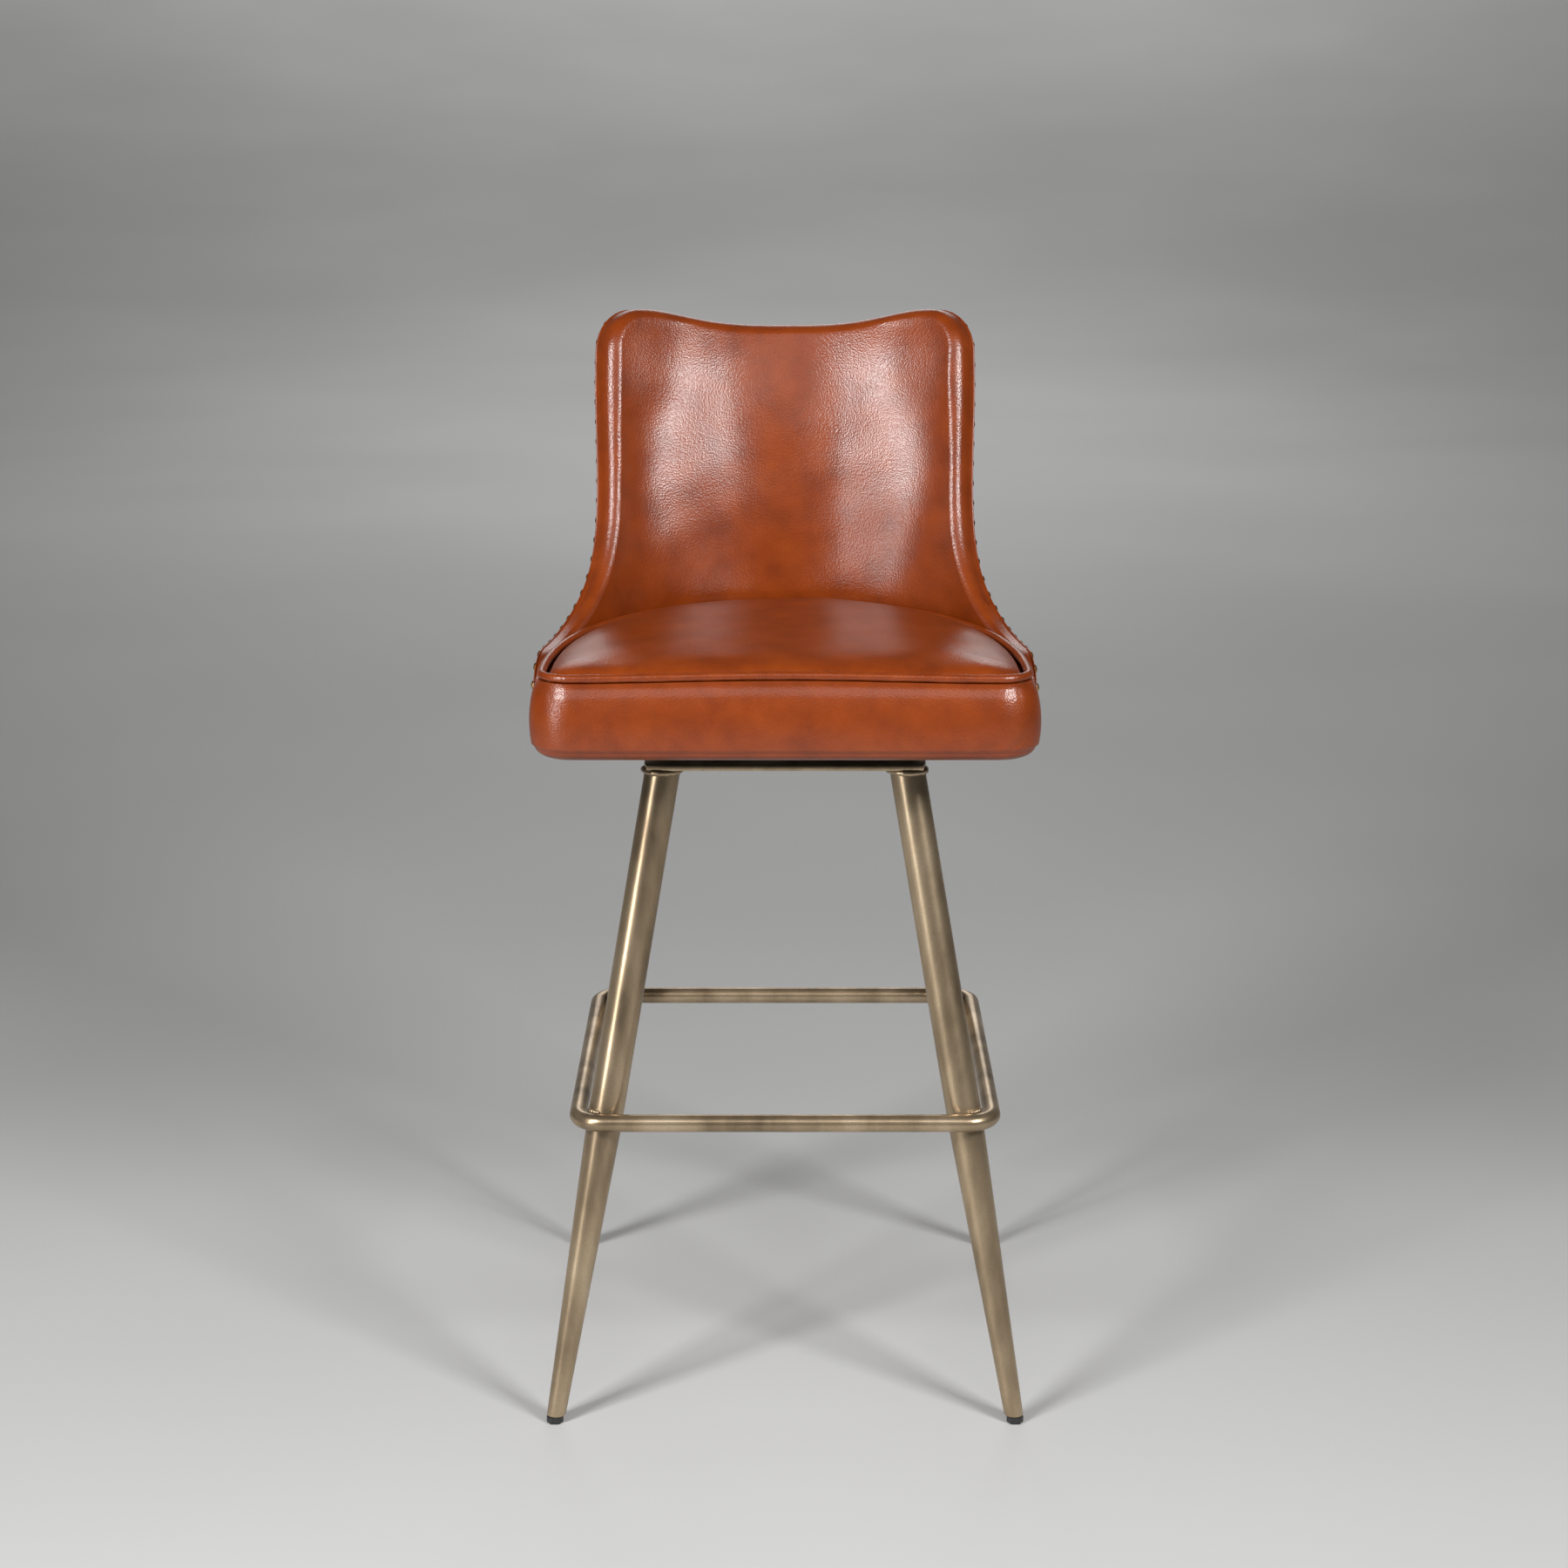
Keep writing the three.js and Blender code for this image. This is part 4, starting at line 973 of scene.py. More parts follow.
@dataclass
class BoxSeat:
    """The upholstered seat: a leather band, a welt, a crowned cushion and a dust cover."""

    plan: ShieldPlan
    bottom: float = 0.681
    top: float = 0.756
    leather: float = 0.0013
    gap: float = 0.0003
    bulge: float = 0.0088
    bulge_fade: tuple[float, float] = (-0.200, -0.150)
    hem: float = 0.024
    under_round: float = 0.0100
    welt_radius: float = 0.0041
    crown: float = 0.017
    seam_gap: float = 0.0016
    side_gap: float = 0.0028
    bow_from: float = 0.715
    board_top: float = 0.6976
    front_rise: float = 0.0032
    foam_slack: float = 0.0018
    swivel_half: float = 0.089
    middle: np.ndarray = field(default_factory=lambda: np.array([0.0, -0.0435]))

    def __post_init__(self) -> None:
        """Works out the outline once."""
        self.edge, self.outward = self.plan.outline()

    def rise(self, points: np.ndarray) -> np.ndarray:
        """How far the front's top edge bows up: a cosine squared across the front, fading behind it."""
        across = np.cos(np.clip(points[..., 0] / 0.215, -1, 1) * np.pi / 2) ** 2
        return self.front_rise * across * smooth_step(-points[..., 1], 0.10, 0.235)

    def loops(self, out: np.ndarray, height: np.ndarray, bulge: np.ndarray) -> np.ndarray:
        """The outline moved outwards at several heights.

        Args:
            out: how far each loop is moved.
            height: each loop's height.
            bulge: each loop's share of the bulge, which fades beside the wings.

        Returns:
            Rows of points.
        """
        fade = 1 - smooth_step(self.edge[:, 1], *self.bulge_fade)
        move = out[:, None] + bulge[:, None] * self.bulge * fade[None]
        level = self.edge[None] + self.outward[None] * move[:, :, None]
        rows = np.broadcast_to(height[:, None, None], (len(height), len(self.edge), 1))
        return np.concatenate([level, rows], axis=2)

    def lifted(self, points: np.ndarray, low: float, high: float) -> np.ndarray:
        """Adds the front's bow, in full above high and not at all below low.

        Args:
            points: the points.
            low: the height where the bow starts.
            high: the height where it is full.

        Returns:
            The points after the bow.
        """
        share = np.clip((points[..., 2] - low) / (high - low), 0, 1)
        lift = self.rise(points) * share
        return points + lift[..., None] * np.array([0.0, 0.0, 1.0])

    def creases(self, rows: np.ndarray) -> np.ndarray:
        """Puckers of the band: fine folds at the front corners under the welt, and one low fold.

        Args:
            rows: the band's outer points.

        Returns:
            How far each stands out.
        """
        x, y, z = rows[..., 0], rows[..., 1], rows[..., 2]
        corner = np.exp(-(((np.abs(x) - 0.216) / 0.018) ** 2) - ((y + 0.228) / 0.022) ** 2)
        upper = np.exp(-(((z - 0.744) / 0.010) ** 2))
        folds = np.sin(1150 * np.abs(x) + 420 * y + 160 * z) * 0.00045 * corner * upper
        slope = (z - 0.696) - 0.8 * (x - 0.215)
        low = -0.0010 * np.exp(-((slope / 0.0016) ** 2)) * np.exp(-(((x - 0.216) / 0.011) ** 2)) * (y < -0.2)
        draw = -0.0006 * np.exp(-(((z - 0.751) / 0.003) ** 2))
        return folds + low + draw

    def band(self) -> bpy.types.Object:
        """The leather band: its outer face up from the hem, then its inner face back down.

        Returns:
            The piece.
        """
        turn = np.linspace(0, np.pi / 2, 9)
        curve = self.under_round
        side = np.linspace(self.bottom + curve, self.top, 34)[1:]
        share = (side - self.bottom) / (self.top - self.bottom)
        out = np.concatenate([np.linspace(-self.hem, -curve - 0.002, 6), -curve + curve * np.sin(turn),
                              np.zeros(len(side)), [-0.0014, -0.0034]])
        height = np.concatenate([np.full(6, self.bottom), self.bottom + curve * (1 - np.cos(turn)), side,
                                 [self.top + 0.0002, self.top + 0.0002]])
        arch = np.sin(np.pi * np.clip(share * 1.02, 0, 1)) ** 0.7
        swell = np.concatenate([np.zeros(6), 0.45 * np.sin(turn) ** 2,
                                0.45 + 0.55 * arch - 0.45 * share**3, [0.0, 0.0]])
        swell[-len(side) - 2:-2] *= np.clip((1 - share) * 6, 0, 1) ** 0.5
        outer = self.loops(out, height, swell)
        push = hide_drift(outer, 0.0006) + self.creases(outer)
        push *= np.clip((outer[..., 2] - self.bottom) / 0.012, 0, 1)
        normal = np.concatenate([self.outward, np.zeros((len(self.edge), 1))], axis=1)
        outer = outer + push[..., None] * normal[None]
        inside_out = out - self.leather * np.clip((height - self.bottom) / curve, 0, 1)
        inside_height = height + self.leather * np.clip(1 - (height - self.bottom) / curve, 0, 1)
        inside_height[-2:] = self.top - 0.0009
        inner = self.loops(inside_out, inside_height, swell * 0.96)[::-1]
        rows = self.lifted(np.concatenate([outer, inner]), self.bow_from, self.top)
        maker = SurfaceMaker()
        maker.add_loft(rows, wrap_rows=True)
        return maker.piece("seat_band", 70)

    def welt(self) -> bpy.types.Object:
        """The welt: a leather-covered cord along the top edge, a little uneven in thickness.

        Returns:
            The piece.
        """
        radius = self.welt_radius
        height = np.array([self.top + radius + self.gap])
        line = self.loops(np.array([-radius]), height, np.zeros(1))[0]
        path = self.lifted(line, self.bow_from, self.top)
        outward = np.concatenate([self.outward, np.zeros((len(self.edge), 1))], axis=1)
        slow, quick = np.array([113.0, 97.0, 0.0]), np.array([-290.0, 241.0, 0.0])
        uneven = 1 + 0.035 * np.sin(path @ slow + 0.7) + 0.02 * np.sin(path @ quick)
        maker = SurfaceMaker()
        maker.add_loft(tube(path, outward, radius * uneven, 18), wrap_rows=True)
        return maker.piece("seat_welt", 80)

    def cushion(self) -> bpy.types.Object:
        """The crowned cushion.

        Its sides stand inside the band. Its top is the rim drawn towards the middle by a share s,
        and raised by crown times the square root of 1 - (1 - s)^5, so it is steep beside the welt.

        Returns:
            The piece.
        """
        skin = self.leather + self.gap + self.foam_slack
        foot = self.board_top + self.gap
        rim_inset = 2 * self.welt_radius + self.seam_gap
        side_height = np.array([foot, foot + 0.004, 0.715, 0.735, self.top - 0.004])
        side_out = np.array([-skin - 0.004, -skin, -skin, -skin, -skin - 0.001])
        sides = self.loops(side_out, side_height, np.array([0, 0.3, 0.85, 0.9, 0.4]))
        groove_height = np.array([self.top - 0.002, self.top + 0.0030])
        groove = self.loops(np.full(2, -rim_inset), groove_height, np.zeros(2))
        apart = self.side_gap * smooth_step(self.edge[:, 1], -0.234, -0.200)
        groove[..., :2] -= self.outward[None] * apart[None, :, None]
        share = np.concatenate([np.linspace(0, 1, 13)[:-1] ** 2 * 0.16 + 0.002, np.linspace(0.16, 0.97, 34)])
        rim = groove[-1, :, :2]
        flat = self.middle + (rim - self.middle)[None] * (1 - share)[:, None, None]
        base = self.top + 0.0040
        height = base + self.crown * np.sqrt(1 - (1 - share) ** 5)
        dome = np.concatenate([flat, np.broadcast_to(height[:, None, None], (*flat.shape[:2], 1))], axis=2)
        dome[..., 2] += hide_drift(dome, 0.0012) * np.clip(share * 8, 0, 1)[:, None]
        rows = self.lifted(np.concatenate([sides, groove, dome]), 0.74, self.top)
        maker = SurfaceMaker()
        poles = ([*self.middle, foot], [*self.middle, float(rows[-1, :, 2].mean())])
        maker.add_loft(rows, poles=poles)
        return maker.piece("seat_cushion", 60)

    def dust_cover(self) -> bpy.types.Object:
        """The cloth under the seat, sagging a little between the hem and the swivel's opening.

        Returns:
            The piece.
        """
        count = len(self.edge)
        turn = np.arctan2(self.edge[:, 1], self.edge[:, 0])
        along = np.stack([np.cos(turn), np.sin(turn)], axis=-1)
        opening = along * ((self.swivel_half + 0.002) / np.abs(along).max(axis=1))[:, None]
        outer = self.edge - self.outward * (self.hem + 0.001)
        share = np.linspace(0, 1, 14)
        flat = opening[None] + (outer - opening)[None] * share[:, None, None]
        sag = 0.0006 * np.sin(np.pi * share)
        level = self.bottom + self.leather - self.gap
        upper = np.concatenate([flat, np.broadcast_to((level - sag)[:, None, None], (14, count, 1))], axis=2)
        lower = upper[::-1] - [0, 0, 0.0007]
        maker = SurfaceMaker()
        maker.add_loft(np.concatenate([upper, lower]), wrap_rows=True)
        return maker.piece("seat_underside_cloth", 60)

    def build(self) -> None:
        band = dress(self.band(), Finish.LEATHER, "seat", "seat_boxing")
        dress(self.welt(), Finish.LEATHER, "seat", "seat_piping")
        cushion = dress(self.cushion(), Finish.LEATHER, "seat", "seat_top_panel", "seat_foam")
        cloth = dress(self.dust_cover(), Finish.CAMBRIC, "seat", "seat_dust_cover")


# ------------------------------------------------------------------ back


@dataclass
class WingedBack:
    """The wrap-round back: padded front leather, outer leather with a hem, and nailheads."""

    plan: ShieldPlan
    seat_bottom: float = 0.681
    seat_to_back: float = 0.0028
    wing_front: float = -0.125
    tip_radius: float = 0.0495
    tip_turn_degrees: float = 78.0
    sweep_pulls: tuple[tuple[float, float], ...] = ((0.213, 0.0), (0.212, 0.124))
    ear_radius: float = 0.0409
    ear_depth: float = 0.1316
    top_dip: float = 0.0203
    dip_power: float = 1.48
    recline_degrees: float = 10.7
    flare: float = 0.2
    thick_seat: float = 0.046
    thick_top: float = 0.036
    wing_thick: float = 0.0125
    thickening_power: float = 2.2
    leather: float = 0.0013
    gap: float = 0.0003
    plywood: float = 0.006
    roll_width: float = 0.0110
    roll_share: float = 0.64
    roll_start: float = 2.0
    crown: float = 0.0165
    ear_crown: float = 0.0040
    lip: float = 0.003
    hem: float = 0.0012
    nail_pitch: float = 0.0195
    nail_radius: float = 0.0048
    nail_height: float = 0.0028
    nail_inset: float = 0.0034
    columns: int = 120
    rows: int = 84
    table: int = 160

    def __post_init__(self) -> None:
        """Works out the heights and the outline once."""
        self.bottom = self.seat_bottom + self.lip
        self.tip_height = self.seat_bottom + 0.076
        self.ear_top = self.seat_bottom + 0.3883
        self.cover = self.leather + self.gap
        self.edge = self.outline()
        before = self.edge - np.roll(self.edge, 1, axis=0)
        after = np.roll(self.edge, -1, axis=0) - self.edge
        before /= np.linalg.norm(before, axis=1, keepdims=True)
        after /= np.linalg.norm(after, axis=1, keepdims=True)
        mean = before + after
        mean /= np.linalg.norm(mean, axis=1, keepdims=True)
        self.inward = np.stack([-mean[:, 1], mean[:, 0]], axis=-1) / (mean * after).sum(axis=1, keepdims=True)

    @staticmethod
    def soft_rise(height: np.ndarray, start: float, ease: float) -> np.ndarray:
        """ease times log(1 + exp((height - start) / ease)): level, then a straight rise."""
        return ease * np.log1p(np.exp((height - start) / ease))

    def half_at(self, height: np.ndarray) -> np.ndarray:
        """The plan's half width, which flares above the seat."""
        rise = self.soft_rise(height, self.seat_bottom + 0.119, 0.015)
        return self.plan.half + self.seat_to_back + self.flare * rise

    def rear_at(self, height: np.ndarray) -> np.ndarray:
        """The y of the back's middle, which reclines above the seat.

        Args:
            height: the heights.

        Returns:
            y at each.
        """
        lean = math.tan(math.radians(self.recline_degrees))
        rise = self.soft_rise(height, self.seat_bottom + 0.087, 0.009)
        return self.plan.rear + self.seat_to_back + lean * rise

    def plans(self, height: np.ndarray) -> tuple[np.ndarray, np.ndarray, np.ndarray]:
        """For each height, x, y and the running length of half the plan from its middle.

        Args:
            height: the heights.

        Returns:
            x, y and the running length, a row for each height.
        """
        turn = np.linspace(0, np.pi / 2, self.table)[None]
        depth = self.rear_at(height) - self.plan.widest
        x, y = self.plan.curve(turn, self.half_at(height)[:, None], depth[:, None])
        step = np.hypot(np.diff(x, axis=1), np.diff(y, axis=1))
        run = np.concatenate([np.zeros((len(height), 1)), np.cumsum(step, axis=1)], axis=1)
        return x, y, run

    @staticmethod
    def crossing(column: np.ndarray, value: np.ndarray) -> tuple[np.ndarray, np.ndarray]:
        """Where each rising row passes its value, as an entry and the share of the step before it.

        Args:
            column: the rising rows.
            value: a value for each row.

        Returns:
            The entry and the share, for each row.
        """
        entry = np.clip((column < value[:, None]).sum(axis=1), 1, column.shape[1] - 1)
        row = np.arange(len(value))
        low, high = column[row, entry - 1], column[row, entry]
        return entry, (value - low) / (high - low)

    def face(self, along: np.ndarray, height: np.ndarray) -> np.ndarray:
        """Points of the front face, by the distance round the plan from its middle and the height.

        Args:
            along: the distances round the plan.
            height: the heights.

        Returns:
            The points.
        """
        x, y, run = self.plans(height)
        entry, share = self.crossing(run, np.abs(along))
        row = np.arange(len(along))
        level = [table[row, entry - 1] * (1 - share) + table[row, entry] * share for table in (x, y)]
        return np.stack([np.sign(along) * level[0], level[1], height], axis=-1)

    def away(self, along: np.ndarray, height: np.ndarray) -> np.ndarray:
        """Unit directions out of the front face, away from the sitter, by central differences.

        Args:
            along: the distances round the plan.
            height: the heights.

        Returns:
            The directions.
        """
        step = 0.004
        across = self.face(along + step, height) - self.face(along - step, height)
        up = self.face(along, height + step) - self.face(along, height - step)
        normal = np.cross(up, across)
        return normal / np.linalg.norm(normal, axis=1, keepdims=True)

    def thickness(self, points: np.ndarray) -> np.ndarray:
        """The back's thickness: thin at the wing tips, growing by a power law to the middle.

        Args:
            points: points of the front face.

        Returns:
            The thickness at each.
        """
        share = (points[:, 1] - self.wing_front) / (self.rear_at(points[:, 2]) - self.wing_front)
        high = (points[:, 2] - self.bottom) / (self.ear_top - self.bottom)
        middle = self.thick_seat + (self.thick_top - self.thick_seat) * high
        return self.wing_thick + (middle - self.wing_thick) * np.clip(share, 0, 1) ** self.thickening_power

    def along_at_depth(self, y: np.ndarray, height: np.ndarray) -> np.ndarray:
        """The distance round the plan at which it comes to a depth y.

        Args:
            y: the depths.
            height: the heights.

        Returns:
            The distance at each.
        """
        _, depth, run = self.plans(height)
        entry, share = self.crossing(-depth, -y)
        row = np.arange(len(y))
        return run[row, entry - 1] * (1 - share) + run[row, entry] * share

    def side_edge(self) -> np.ndarray:
        """The right edge as (along, height): wing tip, its round top, a cubic sweep, half the ear.

        Returns:
            The edge, upwards.
        """
        front = float(self.along_at_depth(np.array([self.wing_front]), np.array([self.bottom]))[0])
        tip_low = self.tip_height - self.tip_radius
        upright = np.array([[front, self.bottom], [front, tip_low]])
        turn = np.linspace(0, math.radians(self.tip_turn_degrees), 24)[1:-1, None]
        tip_along = front - self.tip_radius * (1 - np.cos(turn))
        tip = np.hstack([tip_along, tip_low + self.tip_radius * np.sin(turn)])
        ear_low = self.ear_top - self.ear_radius
        tip_top = np.array([self.wing_front, self.tip_height])
        pulls = tip_top + np.array(self.sweep_pulls)
        ends = [tip_top + [self.tip_radius, 0], *pulls, [self.ear_depth, ear_low]]
        t = np.linspace(0, 1, 160)[:, None]
        sweep = (1 - t) ** 3 * ends[0] + 3 * t * (1 - t) ** 2 * ends[1]
        sweep = sweep + 3 * t**2 * (1 - t) * ends[2] + t**3 * np.array(ends[3])
        sweep = np.stack([self.along_at_depth(sweep[:, 0], sweep[:, 1]), sweep[:, 1]], axis=-1)
        bend = np.linspace(0, np.pi / 4, 24)[1:, None]
        self.ear_side = float(sweep[-1, 0])
        ear_along = self.ear_side - self.ear_radius * (1 - np.cos(bend))
        ear = np.hstack([ear_along, ear_low + self.ear_radius * np.sin(bend)])
        return resampled(np.concatenate([upright, tip, sweep, ear]), self.rows + 1)

    def top_height(self, along: np.ndarray) -> np.ndarray:
        """The top edge: a circle over the ear, and a cosine dip between the ears.

        Args:
            along: distances round the plan from its middle, not negative.

        Returns:
            The height at each.
        """
        peak = self.ear_side - self.ear_radius
        over = np.clip(along - peak, 0, self.ear_radius)
        ear = self.ear_top - self.ear_radius + np.sqrt(self.ear_radius**2 - over**2)
        share = np.clip(along / peak, 0, 1) ** self.dip_power
        dip = self.ear_top - self.top_dip * (1 + np.cos(np.pi * share)) / 2
        return np.where(along > peak, ear, dip)

    def outline(self) -> np.ndarray:
        """The whole edge as (along, height), counter-clockwise from the front: bottom, right, top, left.

        Returns:
            The edge, as along and height.
        """
        right = self.side_edge()
        share = np.arange(-self.columns // 2, self.columns // 2) / (self.columns // 2)
        bottom = np.stack([share * right[0, 0], np.full(self.columns, self.bottom)], axis=-1)
        along = -share * right[-1, 0]
        top = np.stack([along, self.top_height(np.abs(along))], axis=-1)
        left = (right * [-1, 1])[::-1]
        return np.concatenate([bottom, right[:-1], top, left[:-1]])

    def placed(self, flat: np.ndarray, depth: np.ndarray) -> np.ndarray:
        """Points at a depth behind the front face."""
        return self.face(flat[:, 0], flat[:, 1]) + self.away(flat[:, 0], flat[:, 1]) * depth[:, None]

    def patch(self) -> np.ndarray:
        """The inner field as (along, height): a grid spread evenly between its four sides.

        Returns:
            Rows from the bottom up, each from left to right.
        """
        rim = self.edge + self.inward * self.roll_width
        columns, rows = self.columns, self.rows
        bottom, right = rim[:columns + 1], rim[columns:columns + rows + 1]
        top = rim[columns + rows:2 * columns + rows + 1][::-1]
        left = np.concatenate([rim[2 * columns + rows:], rim[:1]])[::-1]
        u = np.linspace(0, 1, columns + 1)[None, :, None]
        v = np.linspace(0, 1, rows + 1)[:, None, None]
        upright = bottom[None] * (1 - v) + top[None] * v
        level = left[:, None] * (1 - u) + right[:, None] * u
        corners = (bottom[0] * (1 - u) + bottom[-1] * u) * (1 - v)
        corners = corners + (top[0] * (1 - u) + top[-1] * u) * v
        return upright + level - corners

    def rim_numbers(self, grid: np.ndarray) -> np.ndarray:
        """The numbers round a grid's edge, in the outline's order."""
        return np.concatenate([grid[0, :-1], grid[:-1, -1], grid[-1, :0:-1], grid[:0:-1, 0]])

    def layer(self, name: str, front: DepthRule, loops: list[tuple[float, DepthRule]],
              rear: DepthRule) -> bpy.types.Object:
        """A closed layer of the back: a front field, loops round its edge, and a rear field.

        Args:
            name: the piece's name.
            front: gives the front field's depth from its thickness and points.
            loops: pairs of an inset from the edge and a depth of the same kind.
            rear: the rear field's depth.

        Returns:
            The piece.
        """
        maker = SurfaceMaker()
        field_flat = self.patch()
        flat = field_flat.reshape(-1, 2)
        thick = self.thickness(self.face(flat[:, 0], flat[:, 1]))
        grids = []
        for depth in (front, rear):
            points = self.placed(flat, depth(thick, flat, self.roll_width))
            grids.append(maker.add_points(points.reshape(*field_flat.shape[:2], 3)))
            maker.add_quads(grids[-1])
        chain = [self.rim_numbers(grids[0])]
        for inset, depth in loops:
            rim = self.edge + self.inward * inset
            rim_thick = self.thickness(self.face(self.edge[:, 0], self.edge[:, 1]))
            chain.append(maker.add_points(self.placed(rim, depth(rim_thick, rim, inset))))
        chain.append(self.rim_numbers(grids[1]))
        maker.add_quads(np.stack(chain), wrap_columns=True)
        return maker.piece(name, 60)

    def roll(self, thick: np.ndarray, inset: float) -> np.ndarray:
        """How far the padded edge falls back: 1 - sqrt(1 - near^power), near being 1 at the edge.

        Args:
            thick: the back's thickness.
            inset: the distance from the edge.

        Returns:
            The depth behind the front face.
        """
        near = min(max(1 - inset / self.roll_width, 0.0), 1.0)
        fall = 1 - math.sqrt(1 - near**self.roll_start)
        return self.roll_share * (thick - self.leather - self.plywood) * fall

    def padding(self, flat: np.ndarray) -> np.ndarray:
        """How far the foam stands forward (negative): a parabola up the face, and slow waves.

        The parabola is highest half-way between the cushion and the top edge, and fades smoothly
        towards the sides. Each ear has a bulge of its own, exp(-(distance / ear radius)^2).

        Args:
            flat: the places, as along and height.

        Returns:
            The depth behind the front face.
        """
        low, high = self.seat_bottom + 0.078, self.ear_top - self.top_dip
        up = np.clip(2 * (flat[:, 1] - low) / (high - low) - 1, -1, 1)
        across = smooth_step(1 - np.abs(flat[:, 0]) / (self.ear_side - self.roll_width), 0.0, 0.62)
        points = np.stack([flat[:, 0], flat[:, 1] * 0.3, flat[:, 1]], axis=-1)
        ear = np.array([self.ear_side - self.ear_radius, self.ear_top - 1.5 * self.ear_radius])
        apart = np.hypot(np.abs(flat[:, 0]) - ear[0], flat[:, 1] - ear[1]) / self.ear_radius
        bulge = self.crown * (1 - up * up) * across + self.ear_crown * np.exp(-apart**2)
        return hide_drift(points, 0.0011) - bulge

    def front_pad(self) -> bpy.types.Object:
        """The padded front: foam under leather, rolled over the edge and taken round the plywood.

        Returns:
            The piece.
        """
        turn = np.linspace(0, np.pi / 2, 15)[1:]
        rolls = [
            (self.roll_width * (1 - math.sin(angle)),
             lambda thick, flat, inset: self.roll(thick, inset)
             + self.padding(flat) * smooth_step(inset, 0.0, self.roll_width))
            for angle in turn[:-1]
        ]
        wall = [
            (0.0, lambda thick, flat, inset: self.roll(thick, 0.0)),
            (-0.0004, lambda thick, flat, inset: self.roll(thick, 0.0) * 0.6 + (thick - self.cover) * 0.4),
            (0.0, lambda thick, flat, inset: thick - self.cover - self.plywood),
            (0.0, lambda thick, flat, inset: thick - self.cover),
            (self.leather, lambda thick, flat, inset: thick - self.cover),
            (self.leather, lambda thick, flat, inset: thick - self.cover - self.plywood - self.gap),
        ]
        return self.layer(
            "back_front_pad",
            lambda thick, flat, inset: self.padding(flat),
            rolls + wall,
            lambda thick, flat, inset: thick - self.cover - self.plywood - self.gap,
        )

    def rear_leather(self) -> bpy.types.Object:
        """The outer leather, whose edge is turned into a round hem that stands past the front's.

        Returns:
            The piece.
        """
        bead = 0.0008
        turn = np.linspace(-np.pi / 2, np.pi / 2, 9)
        hem = [
            (-(self.hem - bead) - bead * math.cos(angle),
             lambda thick, flat, inset, angle=angle: thick - bead + bead * math.sin(angle))
            for angle in turn
        ]
        inner = [(self.cover, lambda thick, flat, inset: thick - self.leather),
                 (0.0006, lambda thick, flat, inset: thick - self.leather)]
        outer = [(0.0012, lambda thick, flat, inset: thick)]
        return self.layer(
            "back_outer_leather",
            lambda thick, flat, inset: thick - self.leather,
            inner + hem + outer,
            lambda thick, flat, inset: thick,
        )

    def shell(self) -> bpy.types.Object:
        """The bent plywood between the pad and the outer leather.

        Returns:
            The piece.
        """
        inset = self.cover
        front = self.cover + self.plywood
        loops = [
            (inset, lambda thick, flat, inset: thick - front),
            (inset, lambda thick, flat, inset: thick - self.cover),
        ]
        return self.layer("back_plywood", loops[0][1], loops, loops[1][1])

    def nails(self) -> bpy.types.Object:
        """The nailheads: low domes in a row inside the hem, round the sides and the top.

        Each dome's height is a quarter ellipse of its radius, on the outer leather's own direction.

        Returns:
            The piece.
        """
        ring = self.edge + self.inward * self.nail_inset
        path = ring[self.columns:]
        run = np.linalg.norm(np.diff(path, axis=0), axis=1).sum()
        spots = resampled(path, int(run / self.nail_pitch))[1:-1]
        away = self.away(spots[:, 0], spots[:, 1])
        thick = self.thickness(self.face(spots[:, 0], spots[:, 1]))
        foot = self.placed(spots, thick - 0.0002)
        side = np.cross(away, [0.0, 0.0, 1.0])
        side /= np.linalg.norm(side, axis=1, keepdims=True)
        up = np.cross(side, away)
        turn = around(16)
        climb = np.linspace(0, 1, 6)[:-1] * np.pi / 2
        radius = self.nail_radius * np.cos(climb)
        lift = self.nail_height * np.sin(climb)
        maker = SurfaceMaker()
        for centre, out, across, rise in zip(foot, away, side, up):
            ring_points = np.cos(turn)[:, None] * across + np.sin(turn)[:, None] * rise
            rows = centre + radius[:, None, None] * ring_points[None] + lift[:, None, None] * out
            maker.add_loft(rows, poles=(centre, centre + self.nail_height * out))
        return maker.piece("back_nailheads", 40)

    def build(self) -> None:
        pad = dress(self.front_pad(), Finish.LEATHER, "seat", "back_cover_front", "back_foam")
        outer = dress(self.rear_leather(), Finish.LEATHER, "seat", "back_cover_rear")
        dress(self.shell(), Finish.PLYWOOD, "seat", "back_shell")
        dress(self.nails(), Finish.BRASS, "seat")


# ------------------------------------------------------------------ hidden structure


@dataclass
class HiddenStructure:
    """The CAD nodes that stay as they are and only take a finish."""

    finishes: dict[str, Finish] = field(default_factory=lambda: {
        "leg_insert": Finish.ZINC, "swivel": Finish.ZINC, "frame_bolt": Finish.ZINC, "frame_nut": Finish.ZINC,
        "seat_screw": Finish.ZINC, "board_insert": Finish.ZINC, "back_bolt": Finish.ZINC,
        "seat_board": Finish.PLYWOOD,
    })

    def build(self, nodes: dict[str, bpy.types.Object]) -> None:
        """Gives each kept node its finish.

        Args:
            nodes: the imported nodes, by name.
        """
        for name, node in nodes.items():
            finish = next((kind for stem, kind in self.finishes.items() if name.startswith(stem)), None)
            if finish is None or node.hide_render:
                continue
            for place in node.material_slots:
                place.material = finish.material()
            LOG.info("%s: kept, %s", name, finish.slot)


# ------------------------------------------------------------------ studio


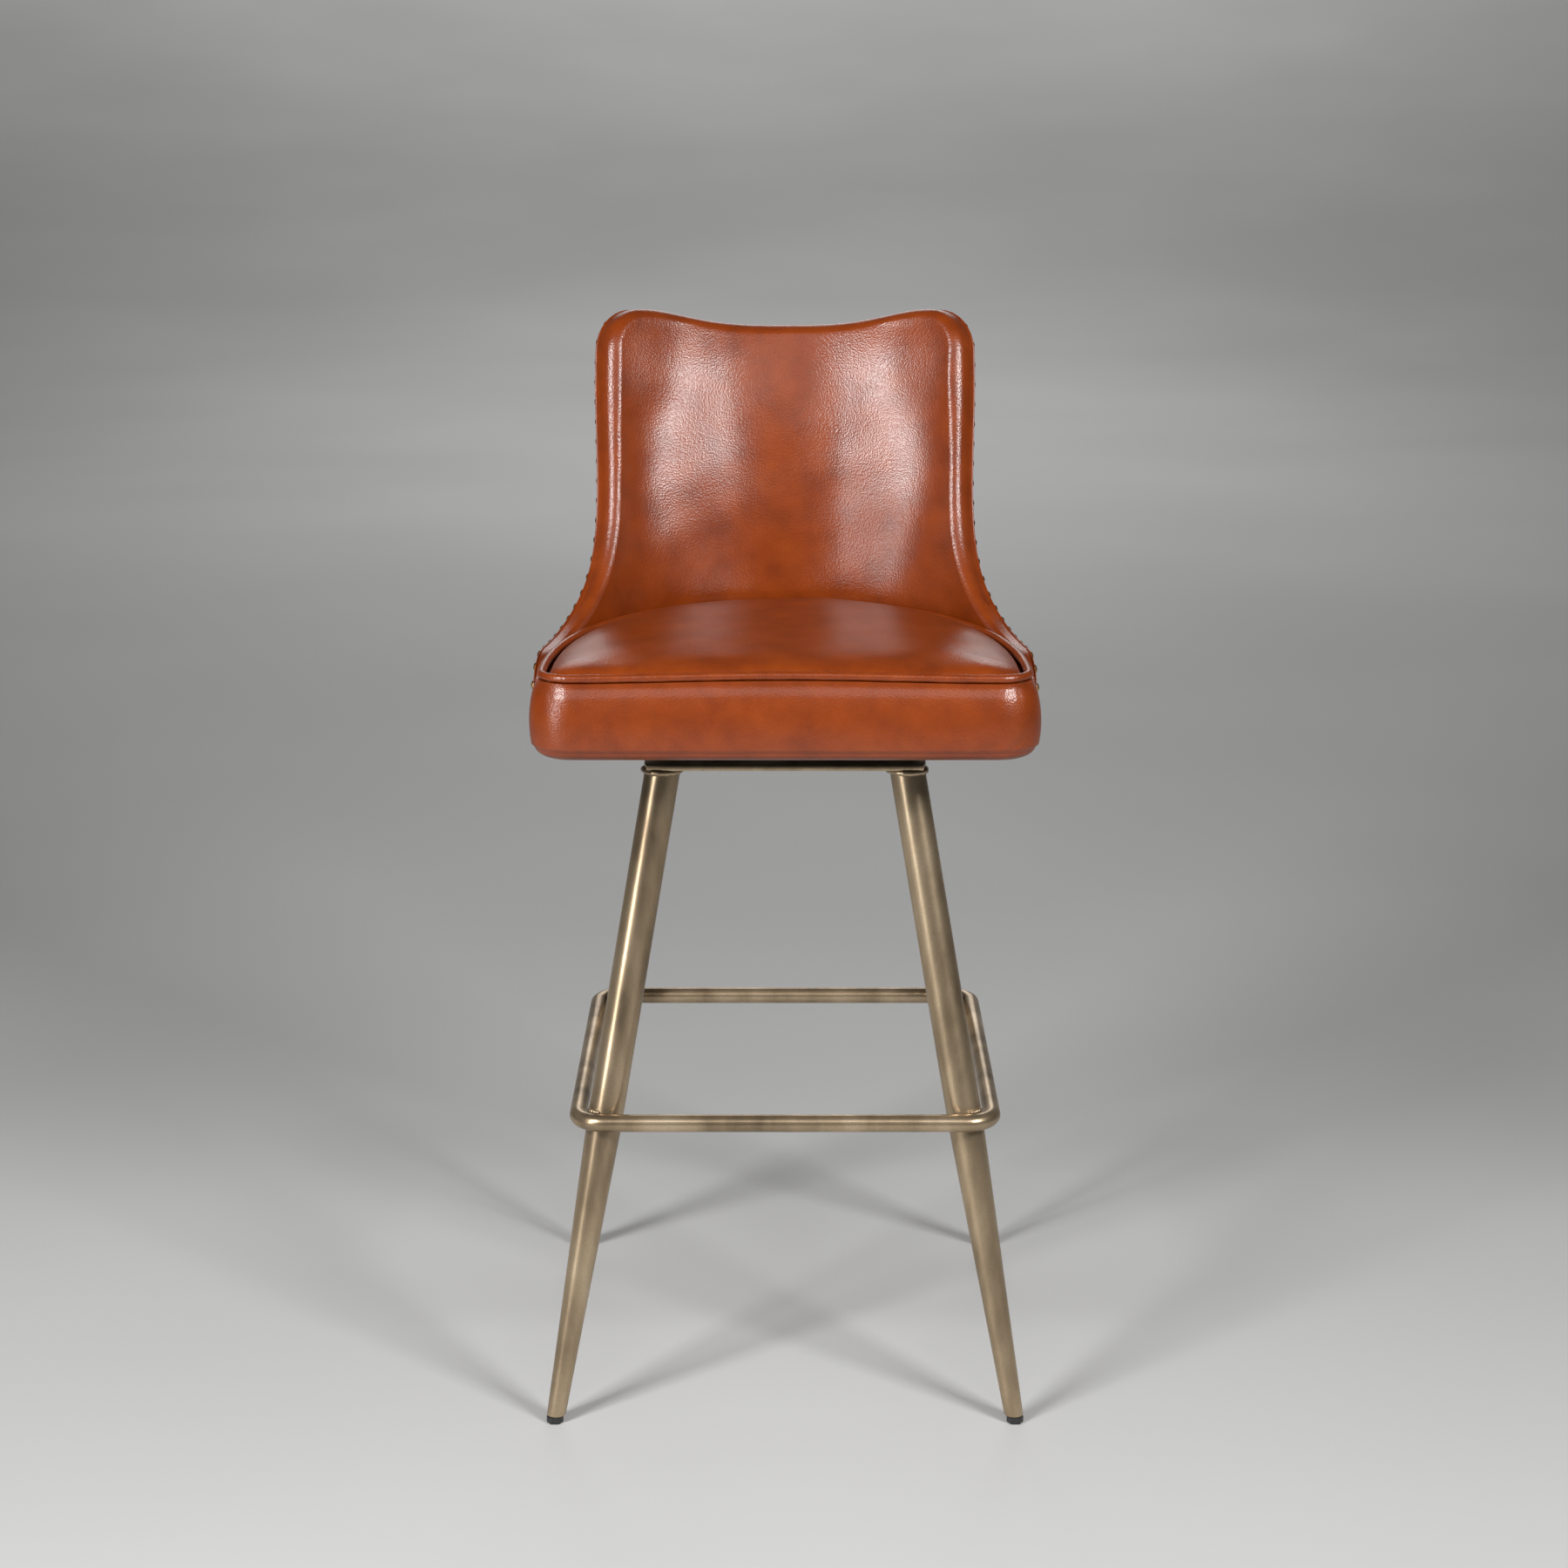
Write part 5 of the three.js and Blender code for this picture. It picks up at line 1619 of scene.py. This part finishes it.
@dataclass
class Studio:
    """A pale floor, soft boxes at both sides of the camera, and the camera."""

    camera_place: tuple[float, float, float] = (-0.001, -3.12, 1.378)
    pitch_degrees: float = 14.0
    lens: float = 72.0
    floor_reach: float = 40.0
    floor_rise: float = 9.0

    def soft_box(self, name: str, place: tuple, aim: tuple, size: tuple, watts: float) -> None:
        """A rectangular area light.

        Args:
            name: the light's name.
            place: its middle.
            aim: the point that it faces.
            size: its width and height.
            watts: its power.
        """
        light = bpy.data.lights.new(name, "AREA")
        light.shape = "RECTANGLE"
        light.size, light.size_y = size
        light.energy = watts
        lamp = bpy.data.objects.new(name, light)
        direction = np.array(aim) - np.array(place)
        flat = math.hypot(direction[0], direction[1])
        lamp.location = place
        lamp.rotation_euler = (math.atan2(flat, -direction[2]), 0.0, math.atan2(-direction[0], direction[1]))
        bpy.context.scene.collection.objects.link(lamp)

    def build(self) -> None:
        """Makes the camera, the floor, the lights and the surroundings' dim glow."""
        scene = bpy.context.scene
        camera = bpy.data.objects.new("camera", bpy.data.cameras.new("camera"))
        camera.data.lens = self.lens
        camera.data.sensor_width = 36.0
        camera.location = self.camera_place
        camera.rotation_euler = (math.radians(90 - self.pitch_degrees), 0.0, 0.0)
        scene.collection.objects.link(camera)
        scene.camera = camera

        turn = around(96)
        radius = np.concatenate([[1.0, 3.0, 6.0], np.linspace(0.2, 1.0, 25) * self.floor_reach])[:, None]
        rise = self.floor_rise * smooth_step(radius / self.floor_reach, 0.2, 1.0) + 0.0 * turn
        maker = SurfaceMaker()
        rings = maker.add_points(np.stack([radius * np.cos(turn), radius * np.sin(turn), rise], axis=-1))
        maker.add_quads(rings, wrap_columns=True)
        maker.add_fan(rings[0], np.zeros(3))
        floor = maker.piece("studio_floor")
        floor.data.materials.append(StudioFloor().build())

        self.soft_box("left_box", (-1.75, -1.95, 2.15), (0.0, 0.1, 0.9), (0.75, 0.75), 78.0)
        self.soft_box("right_box", (1.75, -1.95, 2.15), (0.0, 0.1, 0.9), (0.75, 0.75), 76.0)
        self.soft_box("low_left_box", (-2.3, -2.2, 0.95), (0.0, 0.0, 0.45), (0.35, 0.9), 26.0)
        self.soft_box("front_box", (0.2, -3.0, 3.2), (0.0, -1.4, 0.0), (2.2, 1.2), 16.0)
        self.soft_box("rear_box", (0.0, 3.2, 1.9), (0.0, 0.2, 0.6), (2.0, 0.8), 5.0)
        self.soft_box("floor_box", (0.0, 7.0, 3.4), (0.0, 7.4, 0.0), (3.0, 6.0), 120.0)
        self.soft_box("far_floor_box", (0.0, 16.0, 9.0), (0.0, 22.0, 0.0), (9.0, 8.0), 560.0)
        world = bpy.data.worlds.new("surroundings")
        world.use_nodes = True
        glow = world.node_tree.nodes["Background"]
        glow.inputs["Color"].default_value = (0.80, 0.80, 0.79, 1.0)
        glow.inputs["Strength"].default_value = 0.09
        scene.world = world
        scene.view_settings.view_transform = "Standard"


def main() -> None:
    """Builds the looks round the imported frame, piece by piece."""
    logging.basicConfig(level=logging.INFO, format="%(name)s %(message)s")
    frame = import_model()
    Studio().build()
    legs = TaperedLegs()
    legs.build()
    LevellingFeet(legs).build()
    FootrestRing(legs).build()
    TopPlate().build()
    plan = ShieldPlan()
    BoxSeat(plan).build()
    WingedBack(plan).build()
    HiddenStructure().build(frame["nodes"])


if __name__ == "__main__":
    main()
